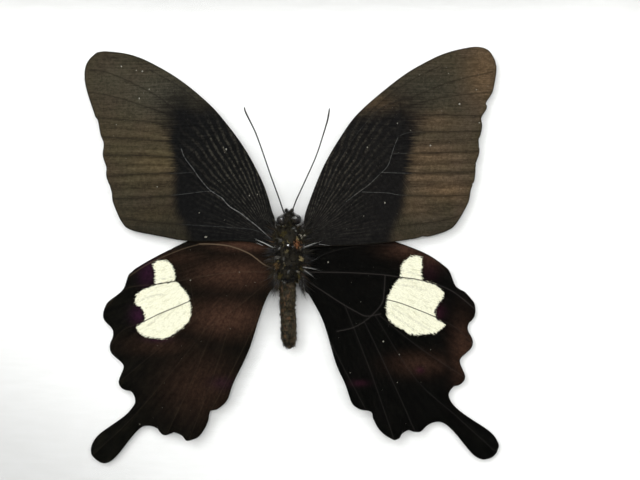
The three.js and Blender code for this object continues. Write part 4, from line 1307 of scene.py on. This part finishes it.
def dress_frame():
    level, upright = wood_paint("walnut_level", "x"), wood_paint("walnut_upright", "z")
    for side in ("top", "bottom"):
        dress(f"rail_{side}", level, 0.25)
    for side in SIDES:
        dress(f"rail_{side}", upright, 0.25)
    paper = board_paint()
    dress("mount_board", paper)
    for side in ("top", "bottom", *SIDES):
        dress(f"spacer_{side}", paper, 0.15)
    dress("backing_board", hardboard_paint(), 0.2)
    steel = metal_paint("plated_steel", (0.62, 0.62, 0.63), (0.38, 0.37, 0.36), 0.28)
    dark_steel = metal_paint("pin_steel", (0.4, 0.4, 0.4), (0.28, 0.28, 0.28), 0.06)
    brass = metal_paint("brass_plate", (0.72, 0.52, 0.2), (0.42, 0.29, 0.12), 0.3)
    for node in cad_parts:
        if node.startswith("point_") or node == "hanger":
            dress(node, steel, 0.06)
        elif node == "pin":
            dress(node, dark_steel)
        elif node.startswith("hanger_nail"):
            dress(node, brass, 0.05)
        elif node.startswith("bumper"):
            dress(node, rubber_paint(), 0.15)
    dress("glass_pane", glass_paint(), 0.15)
    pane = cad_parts["glass_pane"]
    pane.visible_shadow = False
    pane.visible_diffuse = False


# Stage, lights and camera

PHOTO_WIDTH_PX = 640
SENSOR_WIDTH = 36.0
FLOOR_HALF = 4.0
WORLD_LIGHT = 0.017  # strength of the world as a light, as a backdrop and as a reflection
WORLD_SEEN = 0.8
WORLD_MIRRORED = 0.0011


def add_stage():
    """A wide pale floor, which neither lights the frame nor shows in the glass."""
    mesh = bpy.data.meshes.new("floor")
    corners = [(x * FLOOR_HALF, y * FLOOR_HALF, 0) for x, y in ((-1, -1), (1, -1), (1, 1), (-1, 1))]
    mesh.from_pydata(corners, [], [(0, 1, 2, 3)])
    p = Paint("floor", Roughness=0.8)
    p.colour(p.mix(p.noise(p.position(), 0.02, 3, 0.5), (0.5, 0.495, 0.48), (0.54, 0.535, 0.52)))
    mesh.materials.append(p.material)
    piece = bpy.data.objects.new("floor", mesh)
    piece.visible_diffuse = False
    piece.visible_glossy = False
    piece.visible_transmission = False
    bpy.context.scene.collection.objects.link(piece)
    return piece


def add_panel(name, azimuth, elevation, distance, size, power):
    """A soft light in watts that faces the middle of the frame, from angles in degrees."""
    light = bpy.data.lights.new(name, "AREA")
    light.shape = "RECTANGLE"
    light.size, light.size_y = size
    light.energy = power
    lamp = bpy.data.objects.new(name, light)
    az, el = math.radians(azimuth), math.radians(elevation)
    away = Vector((math.sin(az) * math.cos(el), -math.cos(az) * math.cos(el), math.sin(el)))
    target = Vector((0, 0, MIDDLE_Z))
    lamp.location = target + away * distance
    lamp.rotation_euler = (-away).to_track_quat("-Z", "Y").to_euler()
    bpy.context.scene.collection.objects.link(lamp)
    return lamp


def link_light(lamps, name, piece, state):
    """Lets the lamps light only that piece, or all but that piece."""
    group = bpy.data.collections.new(name)
    group.objects.link(piece)
    group.collection_objects[0].light_linking.link_state = state
    for lamp in lamps:
        lamp.light_linking.receiver_collection = group


def add_world():
    """Even light from all around, brighter as a backdrop and fainter in reflections."""
    world = bpy.data.worlds.new("studio")
    world.use_nodes = True
    tree = world.node_tree
    background = tree.nodes["Background"]
    background.inputs["Color"].default_value = (0.9, 0.9, 0.89, 1)
    path = tree.nodes.new("ShaderNodeLightPath")
    shown = tree.nodes.new("ShaderNodeMix")
    shown.inputs["A"].default_value = WORLD_LIGHT
    shown.inputs["B"].default_value = WORLD_SEEN
    tree.links.new(path.outputs["Is Camera Ray"], shown.inputs["Factor"])
    mirrored = tree.nodes.new("ShaderNodeMix")
    mirrored.inputs["B"].default_value = WORLD_MIRRORED
    bounced = tree.nodes.new("ShaderNodeMath")
    bounced.operation = "MAXIMUM"
    tree.links.new(path.outputs["Is Glossy Ray"], bounced.inputs[0])
    tree.links.new(path.outputs["Is Transmission Ray"], bounced.inputs[1])
    tree.links.new(bounced.outputs[0], mirrored.inputs["Factor"])
    tree.links.new(shown.outputs["Result"], mirrored.inputs["A"])
    tree.links.new(mirrored.outputs["Result"], background.inputs["Strength"])
    bpy.context.scene.world = world


def add_lamps(floor):
    sides = [add_panel("panel_left", -30, 8, 1.2, (0.5, 0.8), 6.1),
             add_panel("panel_right", 30, 8, 1.2, (0.5, 0.8), 4.4)]
    link_light(sides, "all_but_pane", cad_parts["glass_pane"], "EXCLUDE")
    add_panel("panel_above", -18, 32, 1.0, (0.9, 0.45), 4.6)
    add_panel("panel_behind", 160, 45, 1.6, (1.2, 0.8), 24)
    front = add_panel("panel_front", 0, 0, 1.5, (0.6, 0.5), 17.4)
    front.visible_glossy = False  # the glass shows no lamp in front of it
    front.visible_transmission = False
    wash = add_panel("panel_floor", 0, 90, 6.0, (8.0, 8.0), 560)
    link_light([wash], "floor_only", floor, "INCLUDE")


def add_camera():
    lens = bpy.data.cameras.new("camera")
    lens.sensor_width = SENSOR_WIDTH
    lens.lens = SENSOR_WIDTH * VIEW_DISTANCE / (PHOTO_WIDTH_PX * PIXEL)
    camera = bpy.data.objects.new("camera", lens)
    x, z = flat(VIEW_PX)
    camera.location = (x, TIP_Y - VIEW_DISTANCE, z)
    camera.rotation_euler = (math.pi / 2, 0, 0)
    bpy.context.scene.collection.objects.link(camera)
    bpy.context.scene.camera = camera


def build_butterfly():
    hair, horn, skin = hair_paint(), horn_paint(), skin_paint()
    build_wings()
    build_thorax(skin, hair)
    build_head(skin, hair, eye_paint())
    build_abdomen(abdomen_paint(), hair)
    build_antennae(horn)
    build_legs(horn)
    build_proboscis(horn)
    build_strands(hair)
    build_specks(dust_paint())


add_camera()
floor = add_stage()
add_world()
add_lamps(floor)
bpy.context.scene.view_settings.view_transform = "Standard"
dress_frame()
build_butterfly()
